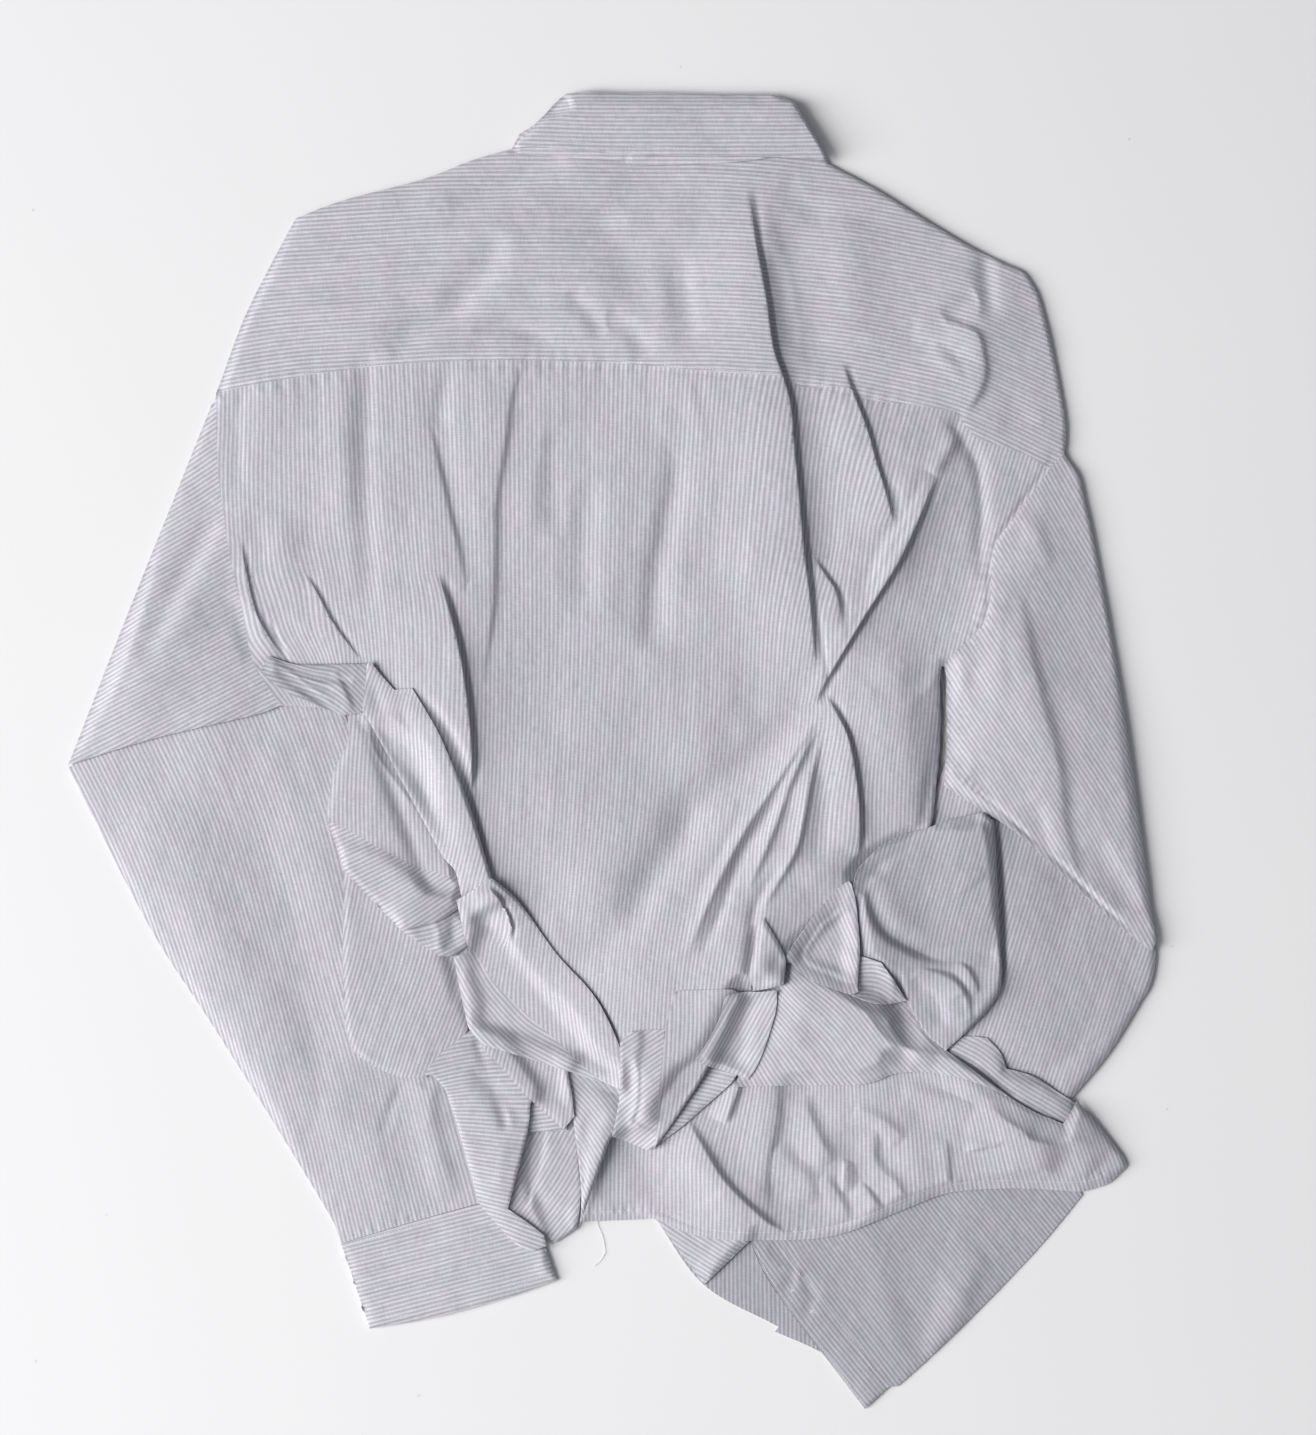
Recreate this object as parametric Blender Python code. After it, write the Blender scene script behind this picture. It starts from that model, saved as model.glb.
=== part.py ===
"""A crumpled long-sleeved shirt, laid face down with its tails knotted over the lower back.

The shirt lies on the XY plane, collar towards +Y, its back upwards. Each piece of cloth is a thin
wall laid on the pieces below it: its outline is cut flat, its sheet settles on what it covers, its
folds are raised along named lines, and the sheet is given the thickness of the cloth.
All tables are in millimetres; the mesh is made in metres.
"""
import math
from collections import namedtuple

import bmesh
import bpy
import numpy as np
from mathutils import Vector
from mathutils.bvhtree import BVHTree
from mathutils.geometry import delaunay_2d_cdt

MM = 0.001

# Driving sizes
CLOTH = 1.2             # wall of one layer of the shirting
DOUBLE = 2.4            # placket and collar stand, two layers and their interlining
CUFF_STACK = 3.6        # a buttoned cuff pressed flat
SEAM_GAP = 0.3          # room between neighbours at a seam
REST_GAP = 0.5          # room between a sheet and what it rests on
MESH_STEP = 17.0        # spacing of the points of a large panel
FINE_STEP = 12.0        # spacing of the points of a small piece
OUTLINE_STEP = 16.0     # longest straight run along an outline
EDGE_ROUND = 26.0       # how far in from its edge a piece rises to its full loft
SAME_POINT = 0.5        # points of an outline nearer than this are one
TEST_STEP = 4.0         # spacing of the places where a sheet is tested against what it covers
SETTLE_ROUNDS = 7       # how far a sheet stays taut round what pushes it up
LIFT_ROUNDS = 11        # tries to share a lift between a triangle's corners

Fold = namedtuple("Fold", "x1 y1 x2 y2 bow wide high lean")
Piece = namedtuple("Piece", "name outline wall loft rim step folds colour")

STRIPE_LIGHT = (0.52, 0.51, 0.56)
STRIPE_SHADE = (0.46, 0.45, 0.51)
INSIDE = (0.42, 0.42, 0.48)

# Seams, each the shared edge of two pieces
YOKE_SEAM = [
    [(-245, 222), (-203, 230), (-156, 237), (-104, 241), (-54, 242), (4, 240), (55, 235), (107, 231)],
    [(107, 231), (117, 225), (142, 225), (156, 218), (193, 213), (213, 210)],
    [(213, 210), (226, 194), (255, 184), (271, 174)]]
ARMHOLE_LEFT = [
    [(-245, 222), (-244, 174), (-241, 153), (-236, 118), (-228, 82), (-222, 56), (-205, 28)]]
ARMHOLE_RIGHT = [
    [(271, 174), (247, 142), (236, 124), (232, 83), (216, 65), (204, 53)]]
CUFF_SEAM_LEFT = [
    [(-168, -305), (-128, -293), (-81, -280), (-52, -275)]]
PLACKET_EDGE = [
    [(40, 330), (42, -150), (62, -235), (86, -304), (101, -334), (130, -373), (157, -408)]]
PLACKET_SEAM = [
    [(68, 338), (69, -150), (88, -250), (107, -308), (128, -335), (172, -394)]]


def back_along(seam):
    """The same seam, walked the other way."""
    return [stretch[::-1] for stretch in reversed(seam)]


# Pieces that lie flat on the surface, under the rest
FRONT_LEFT = [
    [(40, 330), (20, 338), (-20, 355), (-62, 368)],
    [(-62, 368), (-118, 350), (-184, 331)],
    [(-193, 326), (-238, 222)],
    [(-240, 174), (-232, 118), (-219, 60), (-200, 34)],
    [(-200, 34), (-145, 15), (-112, -82), (-76, -192), (-44, -272)],
    [(-30, -282), (27, -288)],
    [(27, -290), (57, -331)],
    [(57, -331), (103, -357)],
    [(101, -360), (122, -369), (130, -373)],
    [(130, -373), (101, -334), (86, -304), (62, -235), (42, -150), (40, 330)]]
PLACKET_RIGHT = PLACKET_EDGE + [
    [(157, -408), (172, -394)]] + back_along(PLACKET_SEAM)
FRONT_RIGHT = PLACKET_SEAM + [
    [(172, -394), (177, -394), (216, -358), (262, -311), (292, -275)],
    [(290, -272), (205, -246)],
    [(186, -228), (175, -150), (178, -80), (196, -36), (204, -10), (207, 50)],
    [(207, 50), (214, 64), (228, 83), (232, 122), (244, 143), (267, 173)],
    [(277, 190), (278, 204), (269, 248), (260, 281), (252, 293)],
    [(252, 293), (226, 306), (190, 327), (162, 345), (131, 360)],
    [(131, 360), (100, 348), (68, 338)]]
SLEEVE_LEFT_UNDER = [
    [(-244, 215), (-293, 100), (-335, -9)],
    [(-335, -11), (-286, -108), (-249, -166), (-205, -236), (-171, -295)],
    [(-171, -295), (-164, -299), (-128, -289), (-84, -276), (-58, -272)],
    [(-56, -270), (-85, -192), (-121, -82), (-153, 9)],
    [(-153, 9), (-207, 27)],
    [(-207, 27), (-225, 56), (-239, 118), (-246, 174), (-244, 215)]]
SLEEVE_RIGHT_UNDER = [
    [(269, 171), (281, 182), (288, 171), (300, 118), (318, 15), (334, -105), (335, -131), (332, -145)],
    [(332, -145), (308, -186), (285, -213)],
    [(285, -213), (258, -232), (212, -238)],
    [(212, -238), (190, -226), (180, -150), (183, -80), (200, -36), (207, -10), (210, 50)],
    [(210, 50), (218, 62), (233, 83), (237, 122), (248, 141), (269, 171)]]

# The sleeves: a forearm is folded under the upper sleeve at the elbow
FOREARM_LEFT = [
    [(-337, -10), (-287, -108), (-250, -166), (-206, -236), (-172, -293), (-168, -305)]] + CUFF_SEAM_LEFT + [
    [(-52, -275), (-85, -190), (-120, -80), (-158, 12)],
    [(-158, 12), (-172, 40)],
    [(-172, 40), (-218, 38), (-278, 23), (-337, -10)]]
CUFF_LEFT = CUFF_SEAM_LEFT + [
    [(-52, -275), (-34, -328)],
    [(-34, -328), (-69, -340), (-109, -351), (-150, -358)],
    [(-150, -358), (-168, -305)]]
FOREARM_RIGHT = [
    [(206, -8), (240, -18), (289, -66), (334, -108)],
    [(336, -112), (337, -130), (334, -145)],
    [(334, -145), (309, -186), (286, -214)],
    [(286, -214), (262, -232), (226, -242), (192, -232)],
    [(192, -232), (182, -150), (186, -80), (198, -34), (206, -8)]]
CUFF_RIGHT = [
    [(188, -236), (226, -246)],
    [(226, -246), (212, -262)],
    [(212, -262), (140, -240)],
    [(140, -240), (150, -190)],
    [(150, -190), (176, -196), (188, -236)]]
SLEEVE_LEFT_UPPER = back_along(ARMHOLE_LEFT) + [
    [(-245, 222), (-294, 100), (-337, -9)],
    [(-337, -9), (-309, 0), (-278, 9), (-218, 23), (-205, 28)]]
SLEEVE_RIGHT_UPPER = ARMHOLE_RIGHT + [
    [(204, 53), (206, 25), (206, 2), (203, -20)],
    [(203, -20), (223, -33), (250, -51), (289, -86), (312, -107), (334, -124)],
    [(337, -118), (319, 15), (301, 118), (293, 155), (289, 171), (280, 184)],
    [(280, 184), (271, 174)]]

# The body
YOKE = [
    [(-62, 373), (-87, 366), (-118, 354), (-164, 342), (-184, 335), (-196, 330)],
    [(-196, 330), (-210, 304), (-228, 268), (-245, 222)]] + YOKE_SEAM + [
    [(271, 174), (280, 184), (281, 204), (273, 249), (264, 283), (255, 297)],
    [(255, 297), (229, 309), (193, 330), (164, 348), (134, 364)],
    [(134, 364), (118, 384), (40, 390), (-44, 390), (-62, 373)]]
BACK = ARMHOLE_LEFT + [
    [(-205, 28), (-165, 25), (-135, 15), (-118, 0), (-108, -35), (-92, -82), (-72, -106), (-48, -136),
     (-25, -167), (-4, -190)],
    [(-4, -190), (24, -186), (34, -171)],
    [(34, -171), (38, -148)],
    [(38, -148), (72, -146), (81, -149), (106, -144)],
    [(106, -144), (107, -127), (124, -103), (142, -81)],
    [(142, -81), (150, -76), (157, -66), (180, -52), (197, -48)],
    [(197, -48), (200, -6), (202, 13), (203, 38), (204, 53)]] + back_along(ARMHOLE_RIGHT) + back_along(YOKE_SEAM)
# The whole upper side of the body and sleeves: the pieces named are rounded only at its edge
BODY_PIECES = ("yoke", "back", "sleeve_left_upper", "sleeve_right_upper")
BODY = YOKE[:2] + [
    [(-245, 222), (-294, 100), (-337, -9)],
    [(-337, -9), (-218, 23), (-165, 24)]] + BACK[1:7] + [
    [(197, -48), (203, -20), (223, -33), (289, -86), (334, -124)],
    [(337, -118), (319, 15), (301, 118), (289, 171), (280, 184)]] + YOKE[5:]
COLLAR_STAND = [
    [(-60, 369), (4, 365), (60, 363), (130, 361)],
    [(130, 361), (116, 384)],
    [(116, 384), (40, 390), (-40, 388)],
    [(-40, 388), (-60, 369)]]
COLLAR_FALL = [
    [(-62, 372), (-33, 403)],
    [(-33, 403), (-28, 407), (-18, 408)],
    [(-18, 408), (100, 406)],
    [(100, 406), (113, 402), (120, 390)],
    [(120, 390), (129, 374), (134, 365)],
    [(134, 365), (91, 367), (48, 367), (4, 369), (-46, 373), (-62, 372)]]

# The skirt, right of the knot
FRONT_LEFT_FOLD = [
    [(20, -280), (27, -290), (57, -331)],
    [(57, -331), (86, -303)],
    [(86, -303), (86, -285)],
    [(86, -285), (20, -272)]]
INNER_LAYERS = [
    [(-14, -150), (20, -122), (90, -100), (150, -78), (176, -88), (176, -140), (160, -176),
     (120, -186), (30, -190), (-12, -180), (-14, -150)]]
SKIRT_ROLL = [
    [(216, -176), (232, -177), (240, -186), (244, -196)],
    [(244, -196), (261, -201), (275, -210), (287, -218), (303, -236), (317, -254)],
    [(317, -254), (300, -250), (262, -232), (225, -208), (205, -190)],
    [(205, -190), (216, -176)]]
SKIRT_LOWER = [
    [(-24, -292), (27, -290)],
    [(27, -290), (57, -301), (109, -303), (139, -300), (164, -291), (193, -279), (212, -273),
     (248, -271), (292, -273)],
    [(292, -273), (308, -268), (318, -259)],
    [(318, -259), (310, -250), (299, -241), (284, -232), (264, -224), (245, -213), (225, -199)],
    [(225, -199), (190, -188), (120, -190), (70, -194)],
    [(70, -194), (40, -220), (0, -226), (-10, -234)],
    [(-10, -234), (-24, -292)]]
SKIRT_UPPER = [
    [(107, -127), (122, -139), (149, -149)],
    [(149, -149), (182, -154)],
    [(182, -154), (195, -175), (213, -189), (245, -213)],
    [(245, -213), (220, -203), (194, -198), (172, -200), (154, -206), (92, -207), (76, -208)],
    [(76, -208), (84, -180), (88, -158), (107, -127)]]
FLAP_RIGHT = [
    [(152, -60), (193, -38), (206, -43), (228, -37)],
    [(228, -37), (236, -43), (238, -79), (240, -126)],
    [(240, -126), (241, -136), (239, -149), (230, -162), (216, -176)],
    [(216, -176), (205, -186), (184, -172), (170, -148), (150, -130)],
    [(150, -130), (145, -96), (152, -60)]]
TUCK_SMALL = [
    [(146, -124), (153, -126), (166, -130), (174, -141), (182, -154)],
    [(182, -154), (178, -164), (148, -160)],
    [(148, -160), (146, -124)]]
TUCK_RIGHT = [
    [(96, -124), (112, -101), (136, -73)],
    [(136, -73), (148, -82), (152, -106), (153, -126), (151, -149)],
    [(151, -149), (149, -160), (120, -151), (96, -124)]]

# The knot and the straps that leave it
TIE_END = [
    [(56, -186), (80, -196)],
    [(80, -196), (74, -205), (45, -231), (26, -245)],
    [(26, -245), (40, -222), (56, -186)]]
KNOT_RIGHT = [
    [(34, -136), (76, -134)],
    [(76, -134), (80, -150), (62, -190), (53, -207), (27, -245)],
    [(27, -245), (17, -238), (22, -175), (34, -136)]]
TIE_RIGHT = [
    [(72, -136), (104, -138)],
    [(104, -138), (99, -160), (93, -180), (83, -202)],
    [(83, -202), (58, -194), (52, -190)],
    [(52, -190), (66, -165), (72, -136)]]
KNOT_LEFT = [
    [(5, -179), (11, -173), (33, -171)],
    [(33, -171), (31, -191), (27, -245)],
    [(27, -245), (22, -247), (0, -238)],
    [(0, -238), (5, -210), (5, -179)]]
GATHER_TUCK = [
    [(93, -102), (100, -113), (107, -127), (106, -143)],
    [(106, -143), (87, -148), (84, -139), (90, -111), (93, -102)]]

# The left flank, and the twisted band that runs to the knot
FLANK_LOWER = [
    [(-166, -60), (-166, -153), (-160, -186), (-149, -194), (-130, -202), (-115, -202)],
    [(-115, -202), (-82, -168), (-88, -140), (-86, -112)],
    [(-86, -112), (-110, -92), (-140, -66), (-166, -60)]]
FLANK_UPPER = [
    [(-166, 32), (-163, 8), (-172, -12), (-177, -42)],
    [(-177, -42), (-170, -58), (-140, -74), (-98, -90)],
    [(-98, -90), (-94, -72), (-118, -30), (-142, 5), (-146, 34)],
    [(-146, 34), (-166, 32)]]
FLANK_TUCK = [
    [(-130, -111), (-134, -98), (-106, -90), (-88, -92)],
    [(-88, -92), (-84, -112), (-90, -121), (-98, -127), (-106, -127)],
    [(-106, -127), (-130, -111)]]
FLANK_FOLD = [
    [(-177, -42), (-168, -66), (-166, -74)],
    [(-166, -74), (-130, -111)],
    [(-130, -111), (-105, -104), (-94, -97)],
    [(-94, -97), (-88, -80)],
    [(-88, -80), (-121, -71), (-149, -56), (-177, -42)]]
UNDERARM_LEFT = [
    [(-212, 59), (-197, 54), (-146, 54)],
    [(-146, 54), (-148, 28), (-166, 22)],
    [(-166, 22), (-185, 29), (-204, 38), (-217, 49)],
    [(-217, 49), (-212, 59)]]
BAND_UPPER = [
    [(-151, 54), (-149, 56), (-134, 38), (-123, 39)],
    [(-123, 39), (-107, 12), (-97, -11), (-88, -33), (-74, -78), (-70, -90)],
    [(-70, -90), (-90, -104)],
    [(-90, -104), (-97, -74), (-104, -66), (-131, -17), (-154, 25)],
    [(-154, 25), (-151, 54)]]
BAND_LOWER = [
    [(-96, -92), (-74, -78)],
    [(-74, -78), (-58, -92), (-34, -125), (-9, -153), (7, -188), (7, -209)],
    [(7, -209), (-18, -200), (-58, -168), (-86, -128), (-96, -92)]]
BAND_FOLD = [
    [(-98, -127), (-84, -123)],
    [(-84, -123), (-52, -157), (-13, -193), (7, -210)],
    [(7, -210), (-27, -198), (-80, -181)],
    [(-80, -181), (-88, -172), (-94, -148), (-98, -127)]]
BAND_TURN = [
    [(-82, -172), (-82, -180), (-69, -195), (-51, -215)],
    [(-51, -215), (-30, -234)],
    [(-30, -234), (-23, -226), (-27, -198)],
    [(-27, -198), (-22, -190), (-82, -172)]]
TAIL_HEM = [
    [(-58, -212), (-51, -236)],
    [(-51, -236), (-28, -235)],
    [(-28, -235), (-26, -225), (-58, -212)]]
TAIL_LEFT = [
    [(-116, -200), (-107, -188), (-88, -173)],
    [(-88, -173), (-72, -176), (-46, -210)],
    [(-46, -210), (-50, -218), (-52, -236), (-64, -283)],
    [(-64, -283), (-42, -299), (-40, -306)],
    [(-40, -306), (-50, -310), (-64, -301), (-82, -280)],
    [(-82, -280), (-103, -210), (-116, -200)]]
TAIL_CENTRE_LEFT = [
    [(-60, -222), (-22, -214)],
    [(-22, -214), (-19, -272), (-22, -296)],
    [(-22, -296), (-35, -305), (-42, -300), (-70, -280)],
    [(-70, -280), (-60, -222)]]
TAIL_CENTRE_RIGHT = [
    [(-30, -190), (12, -204)],
    [(12, -204), (10, -230), (0, -239), (-20, -294)],
    [(-20, -294), (-19, -272), (-24, -228), (-30, -190)]]

# Folds: a ridge from (x1, y1) to (x2, y2), bowed to its left, its half width, its height (a trough is
# negative) and its lean from -1 to 1: with a positive lean the left side, looking along it, is steep
BODY_FOLDS = [
    Fold(84, 342, 103, 231, 2, 20, 5.0, 0.75),
    Fold(103, 236, 114, 150, 0, 20, 6.0, 0.75),
    Fold(112, 165, 131, 50, -3, 17, 6.0, 0.7),
    Fold(-60, 245, -71, 110, 2, 18, 4.5, 0.6),
    Fold(-71, 125, -90, -30, 4, 17, 5.0, 0.6),
    Fold(-112, 210, -104, 100, 0, 18, 4.5, 0.6),
    Fold(-104, 115, -92, -28, -3, 17, 5.5, 0.6),
    Fold(-154, 232, -147, 66, 0, 20, 3.2, 0.5),
    Fold(-232, 132, -208, 62, 4, 12, -3.0, 0.0),
    Fold(-187, 108, -152, 54, 4, 11, -3.0, 0.0),
    Fold(46, 290, 54, 175, 0, 20, 2.5, 0.5),
    Fold(-40, 330, -130, 250, -8, 18, 2.5, 0.0),
    Fold(224, 300, 214, 262, 6, 13, 3.0, 0.5),
    Fold(226, 262, 212, 205, -8, 13, 3.5, 0.5),
    Fold(150, 222, 178, 148, 4, 15, 5.0, 0.6),
    Fold(206, 206, 142, 36, 4, 16, 9.0, 0.7),
    Fold(214, 194, 224, 150, 4, 12, -3.0, 0.0),
    Fold(128, 30, 46, -130, 6, 12, 5.0, 0.3),
    Fold(129, 20, 78, -132, 4, 10, 5.0, 0.4),
    Fold(132, 14, 112, -108, 2, 10, 4.5, 0.4),
    Fold(140, 20, 152, -62, -4, 13, 5.5, 0.75),
    Fold(20, -20, -10, -140, 0, 40, 5.0, 0.2),
    Fold(176, 70, 178, -30, 0, 22, 5.0, 0.2)]
SLEEVE_LEFT_FOLDS = [
    Fold(-238, 150, -268, 90, -4, 14, -3.0, 0.0),
    Fold(-262, 120, -310, 10, 0, 20, 3.0, 0.2),
    Fold(-222, 60, -262, 18, 0, 12, 2.5, 0.0)]
SLEEVE_RIGHT_FOLDS = [
    Fold(250, 120, 276, -36, -4, 18, 7.0, 0.6),
    Fold(228, 70, 262, -50, 0, 16, 3.5, 0.2),
    Fold(298, 60, 318, -90, 0, 16, 3.5, 0.4),
    Fold(268, -20, 300, -86, 0, 10, -3.0, 0.0)]
FOREARM_FOLDS = [
    Fold(-296, -30, -150, -250, 6, 26, 2.0, 0.0),
    Fold(-230, 0, -130, -210, 0, 24, 2.0, 0.0)]
FOREARM_RIGHT_FOLDS = [
    Fold(250, -60, 246, -200, 0, 22, 2.5, 0.0),
    Fold(300, -110, 268, -200, 0, 18, 2.5, 0.0)]
SKIRT_FOLDS = [
    Fold(40, -232, 100, -296, -6, 13, 6.0, -0.6),
    Fold(96, -204, 92, -284, 2, 14, 5.0, 0.6),
    Fold(130, -210, 140, -290, 2, 16, 4.0, 0.3),
    Fold(175, -215, 186, -270, 2, 14, 4.0, 0.4),
    Fold(225, -220, 285, -250, 0, 20, 5.0, 0.0),
    Fold(8, -250, -8, -288, 0, 12, 3.0, 0.0)]
SKIRT_UPPER_FOLDS = [
    Fold(112, -150, 190, -196, 6, 26, 4.0, 0.3),
    Fold(150, -150, 178, -196, 2, 10, 5.5, 0.5)]
FLAP_FOLDS = [
    Fold(162, -84, 206, -128, 14, 10, -4.0, 0.0),
    Fold(196, -124, 250, -126, 0, 9, -4.0, 0.0),
    Fold(236, -14, 236, -140, 0, 34, 9.0, 0.0),
    Fold(240, -124, 216, -196, 0, 26, 9.0, 0.0)]
BAND_FOLDS = [
    Fold(-132, 32, -106, -40, 0, 12, -2.5, 0.0),
    Fold(-114, 46, -80, -84, 2, 14, 4.0, 0.6)]
TAIL_FOLDS = [
    Fold(-86, -190, -56, -222, 0, 10, -2.5, 0.0),
    Fold(-98, -206, -66, -280, 0, 18, 3.0, 0.3)]

# The stack, from the surface upwards. Loft is how far a sheet stands off what it covers, and rim the
# share of it that is left at the edge. A step of None is a piece that lies flat on the surface.
STACK = [
    Piece("sleeve_left_under", SLEEVE_LEFT_UNDER, CLOTH, 0, 1, None, [], STRIPE_SHADE),
    Piece("sleeve_right_under", SLEEVE_RIGHT_UNDER, CLOTH, 0, 1, None, [], STRIPE_SHADE),
    Piece("front_left", FRONT_LEFT, CLOTH, 0, 1, None, [], INSIDE),
    Piece("placket_right", PLACKET_RIGHT, DOUBLE, 0, 1, None, [], INSIDE),
    Piece("front_right", FRONT_RIGHT, CLOTH, 0, 1, None, [], INSIDE),
    Piece("cuff_left", CUFF_LEFT, CUFF_STACK, 0, 1, FINE_STEP, [], STRIPE_LIGHT),
    Piece("sleeve_left_forearm", FOREARM_LEFT, CLOTH, 2, 0, MESH_STEP, FOREARM_FOLDS, STRIPE_LIGHT),
    Piece("sleeve_right_forearm", FOREARM_RIGHT, CLOTH, 3, 0, MESH_STEP, FOREARM_RIGHT_FOLDS, STRIPE_LIGHT),
    Piece("cuff_right", CUFF_RIGHT, CUFF_STACK, 0, 1, MESH_STEP, [], STRIPE_SHADE),
    Piece("front_left_fold", FRONT_LEFT_FOLD, CLOTH, 1, 0, FINE_STEP, [], STRIPE_LIGHT),
    Piece("inner_layers", INNER_LAYERS, None, 9, 0.4, MESH_STEP, [], INSIDE),
    Piece("skirt_roll", SKIRT_ROLL, CLOTH, 4, 0.3, FINE_STEP, [], STRIPE_SHADE),
    Piece("skirt_lower", SKIRT_LOWER, CLOTH, 2, 0.3, MESH_STEP, SKIRT_FOLDS, STRIPE_LIGHT),
    Piece("flap_right", FLAP_RIGHT, CLOTH, 1, 1, FINE_STEP, FLAP_FOLDS, STRIPE_LIGHT),
    Piece("tuck_small", TUCK_SMALL, CLOTH, 1, 0.3, FINE_STEP, [], STRIPE_SHADE),
    Piece("tuck_right", TUCK_RIGHT, CLOTH, 2, 0.3, FINE_STEP, [], STRIPE_LIGHT),
    Piece("skirt_upper", SKIRT_UPPER, CLOTH, 2, 0.3, FINE_STEP, SKIRT_UPPER_FOLDS, STRIPE_LIGHT),
    Piece("tie_end", TIE_END, CLOTH, 1, 0.6, FINE_STEP, [], STRIPE_LIGHT),
    Piece("knot_right", KNOT_RIGHT, DOUBLE, 2, 0.5, FINE_STEP, [], STRIPE_LIGHT),
    Piece("tie_right", TIE_RIGHT, DOUBLE, 1, 0.5, FINE_STEP, [], STRIPE_SHADE),
    Piece("flank_lower", FLANK_LOWER, CLOTH, 4, 0.2, FINE_STEP, [], STRIPE_LIGHT),
    Piece("flank_upper", FLANK_UPPER, CLOTH, 3, 0.2, FINE_STEP, [], STRIPE_LIGHT),
    Piece("flank_tuck", FLANK_TUCK, CLOTH, 1, 0.3, FINE_STEP, [], STRIPE_SHADE),
    Piece("flank_fold", FLANK_FOLD, CLOTH, 2, 0.3, FINE_STEP, [], STRIPE_LIGHT),
    Piece("back", BACK, CLOTH, 3, 0, MESH_STEP, BODY_FOLDS, STRIPE_LIGHT),
    Piece("yoke", YOKE, CLOTH, 3.5, 0, MESH_STEP, BODY_FOLDS, STRIPE_LIGHT),
    Piece("sleeve_left_upper", SLEEVE_LEFT_UPPER, CLOTH, 3.5, 0, MESH_STEP, SLEEVE_LEFT_FOLDS, STRIPE_LIGHT),
    Piece("sleeve_right_upper", SLEEVE_RIGHT_UPPER, CLOTH, 5, 0, MESH_STEP, SLEEVE_RIGHT_FOLDS, STRIPE_LIGHT),
    Piece("gather_tuck", GATHER_TUCK, CLOTH, 1, 0.3, FINE_STEP, [], STRIPE_SHADE),
    Piece("underarm_left", UNDERARM_LEFT, CLOTH, 2, 0.3, FINE_STEP, [], STRIPE_LIGHT),
    Piece("band_upper", BAND_UPPER, CLOTH, 4, 0.3, FINE_STEP, BAND_FOLDS, STRIPE_LIGHT),
    Piece("tail_centre_left", TAIL_CENTRE_LEFT, CLOTH, 2, 0.4, FINE_STEP, [], STRIPE_LIGHT),
    Piece("tail_centre_right", TAIL_CENTRE_RIGHT, CLOTH, 2, 0.4, FINE_STEP, [], STRIPE_LIGHT),
    Piece("tail_hem", TAIL_HEM, CLOTH, 1, 0.5, FINE_STEP, [], STRIPE_LIGHT),
    Piece("tail_left", TAIL_LEFT, CLOTH, 4, 0.3, FINE_STEP, TAIL_FOLDS, STRIPE_LIGHT),
    Piece("band_turn", BAND_TURN, CLOTH, 1.5, 0.4, FINE_STEP, [], STRIPE_LIGHT),
    Piece("band_lower", BAND_LOWER, CLOTH, 4, 0.4, FINE_STEP, [], STRIPE_LIGHT),
    Piece("band_fold", BAND_FOLD, CLOTH, 2.5, 0.4, FINE_STEP, [], STRIPE_LIGHT),
    Piece("knot_left", KNOT_LEFT, DOUBLE, 2.5, 0.4, FINE_STEP, [], STRIPE_LIGHT),
    Piece("collar_stand", COLLAR_STAND, DOUBLE, 0, 0, MESH_STEP, [], STRIPE_SHADE),
    Piece("collar_fall", COLLAR_FALL, DOUBLE, 2.5, 0, MESH_STEP, [], STRIPE_LIGHT),
]


def smooth_through(points):
    """A Catmull-Rom curve through the points, in runs no longer than OUTLINE_STEP."""
    knots = [np.array(p, dtype=float) for p in points]
    padded = [2 * knots[0] - knots[1]] + knots + [2 * knots[-1] - knots[-2]]
    curve = []
    for a, b, c, d in zip(padded, padded[1:], padded[2:], padded[3:]):
        runs = max(1, math.ceil(np.linalg.norm(c - b) / OUTLINE_STEP))
        for t in np.arange(runs) / runs:
            curve.append(b + 0.5 * ((c - a) * t + (2 * a - 5 * b + 4 * c - d) * t ** 2
                                    + (3 * b - a - 3 * c + d) * t ** 3))
    return curve + [knots[-1]]


def outline_points(stretches):
    """One closed, anticlockwise loop of the stretches, drawn in by half the gap at a seam."""
    loop = []
    for point in [p for stretch in stretches for p in smooth_through(stretch)]:
        if not loop or np.linalg.norm(point - loop[-1]) > SAME_POINT:
            loop.append(point)
    if np.linalg.norm(loop[0] - loop[-1]) < SAME_POINT:
        loop.pop()
    loop = np.array(loop)
    ahead = np.roll(loop, -1, axis=0)
    if np.sum(loop[:, 0] * ahead[:, 1] - ahead[:, 0] * loop[:, 1]) < 0:
        loop = loop[::-1]
    edge = np.roll(loop, -1, axis=0) - loop
    inward = np.stack([-edge[:, 1], edge[:, 0]], axis=1) / np.linalg.norm(edge, axis=1)[:, None]
    mitre = inward + np.roll(inward, 1, axis=0)
    mitre /= np.maximum(np.linalg.norm(mitre, axis=1), 0.3)[:, None]
    reach = np.clip(1 / np.maximum(np.sum(mitre * inward, axis=1), 0.4), 1, 2.5)
    return loop + mitre * (0.5 * SEAM_GAP * reach)[:, None]


def inside(loop, points):
    """True for each of the points that lies within the loop."""
    hit = np.zeros(len(points), dtype=bool)
    for a, b in zip(loop, np.roll(loop, -1, axis=0)):
        if a[1] != b[1]:
            crosses = (a[1] > points[:, 1]) != (b[1] > points[:, 1])
            hit ^= crosses & (points[:, 0] < a[0] + (points[:, 1] - a[1]) * (b[0] - a[0]) / (b[1] - a[1]))
    return hit


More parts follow.
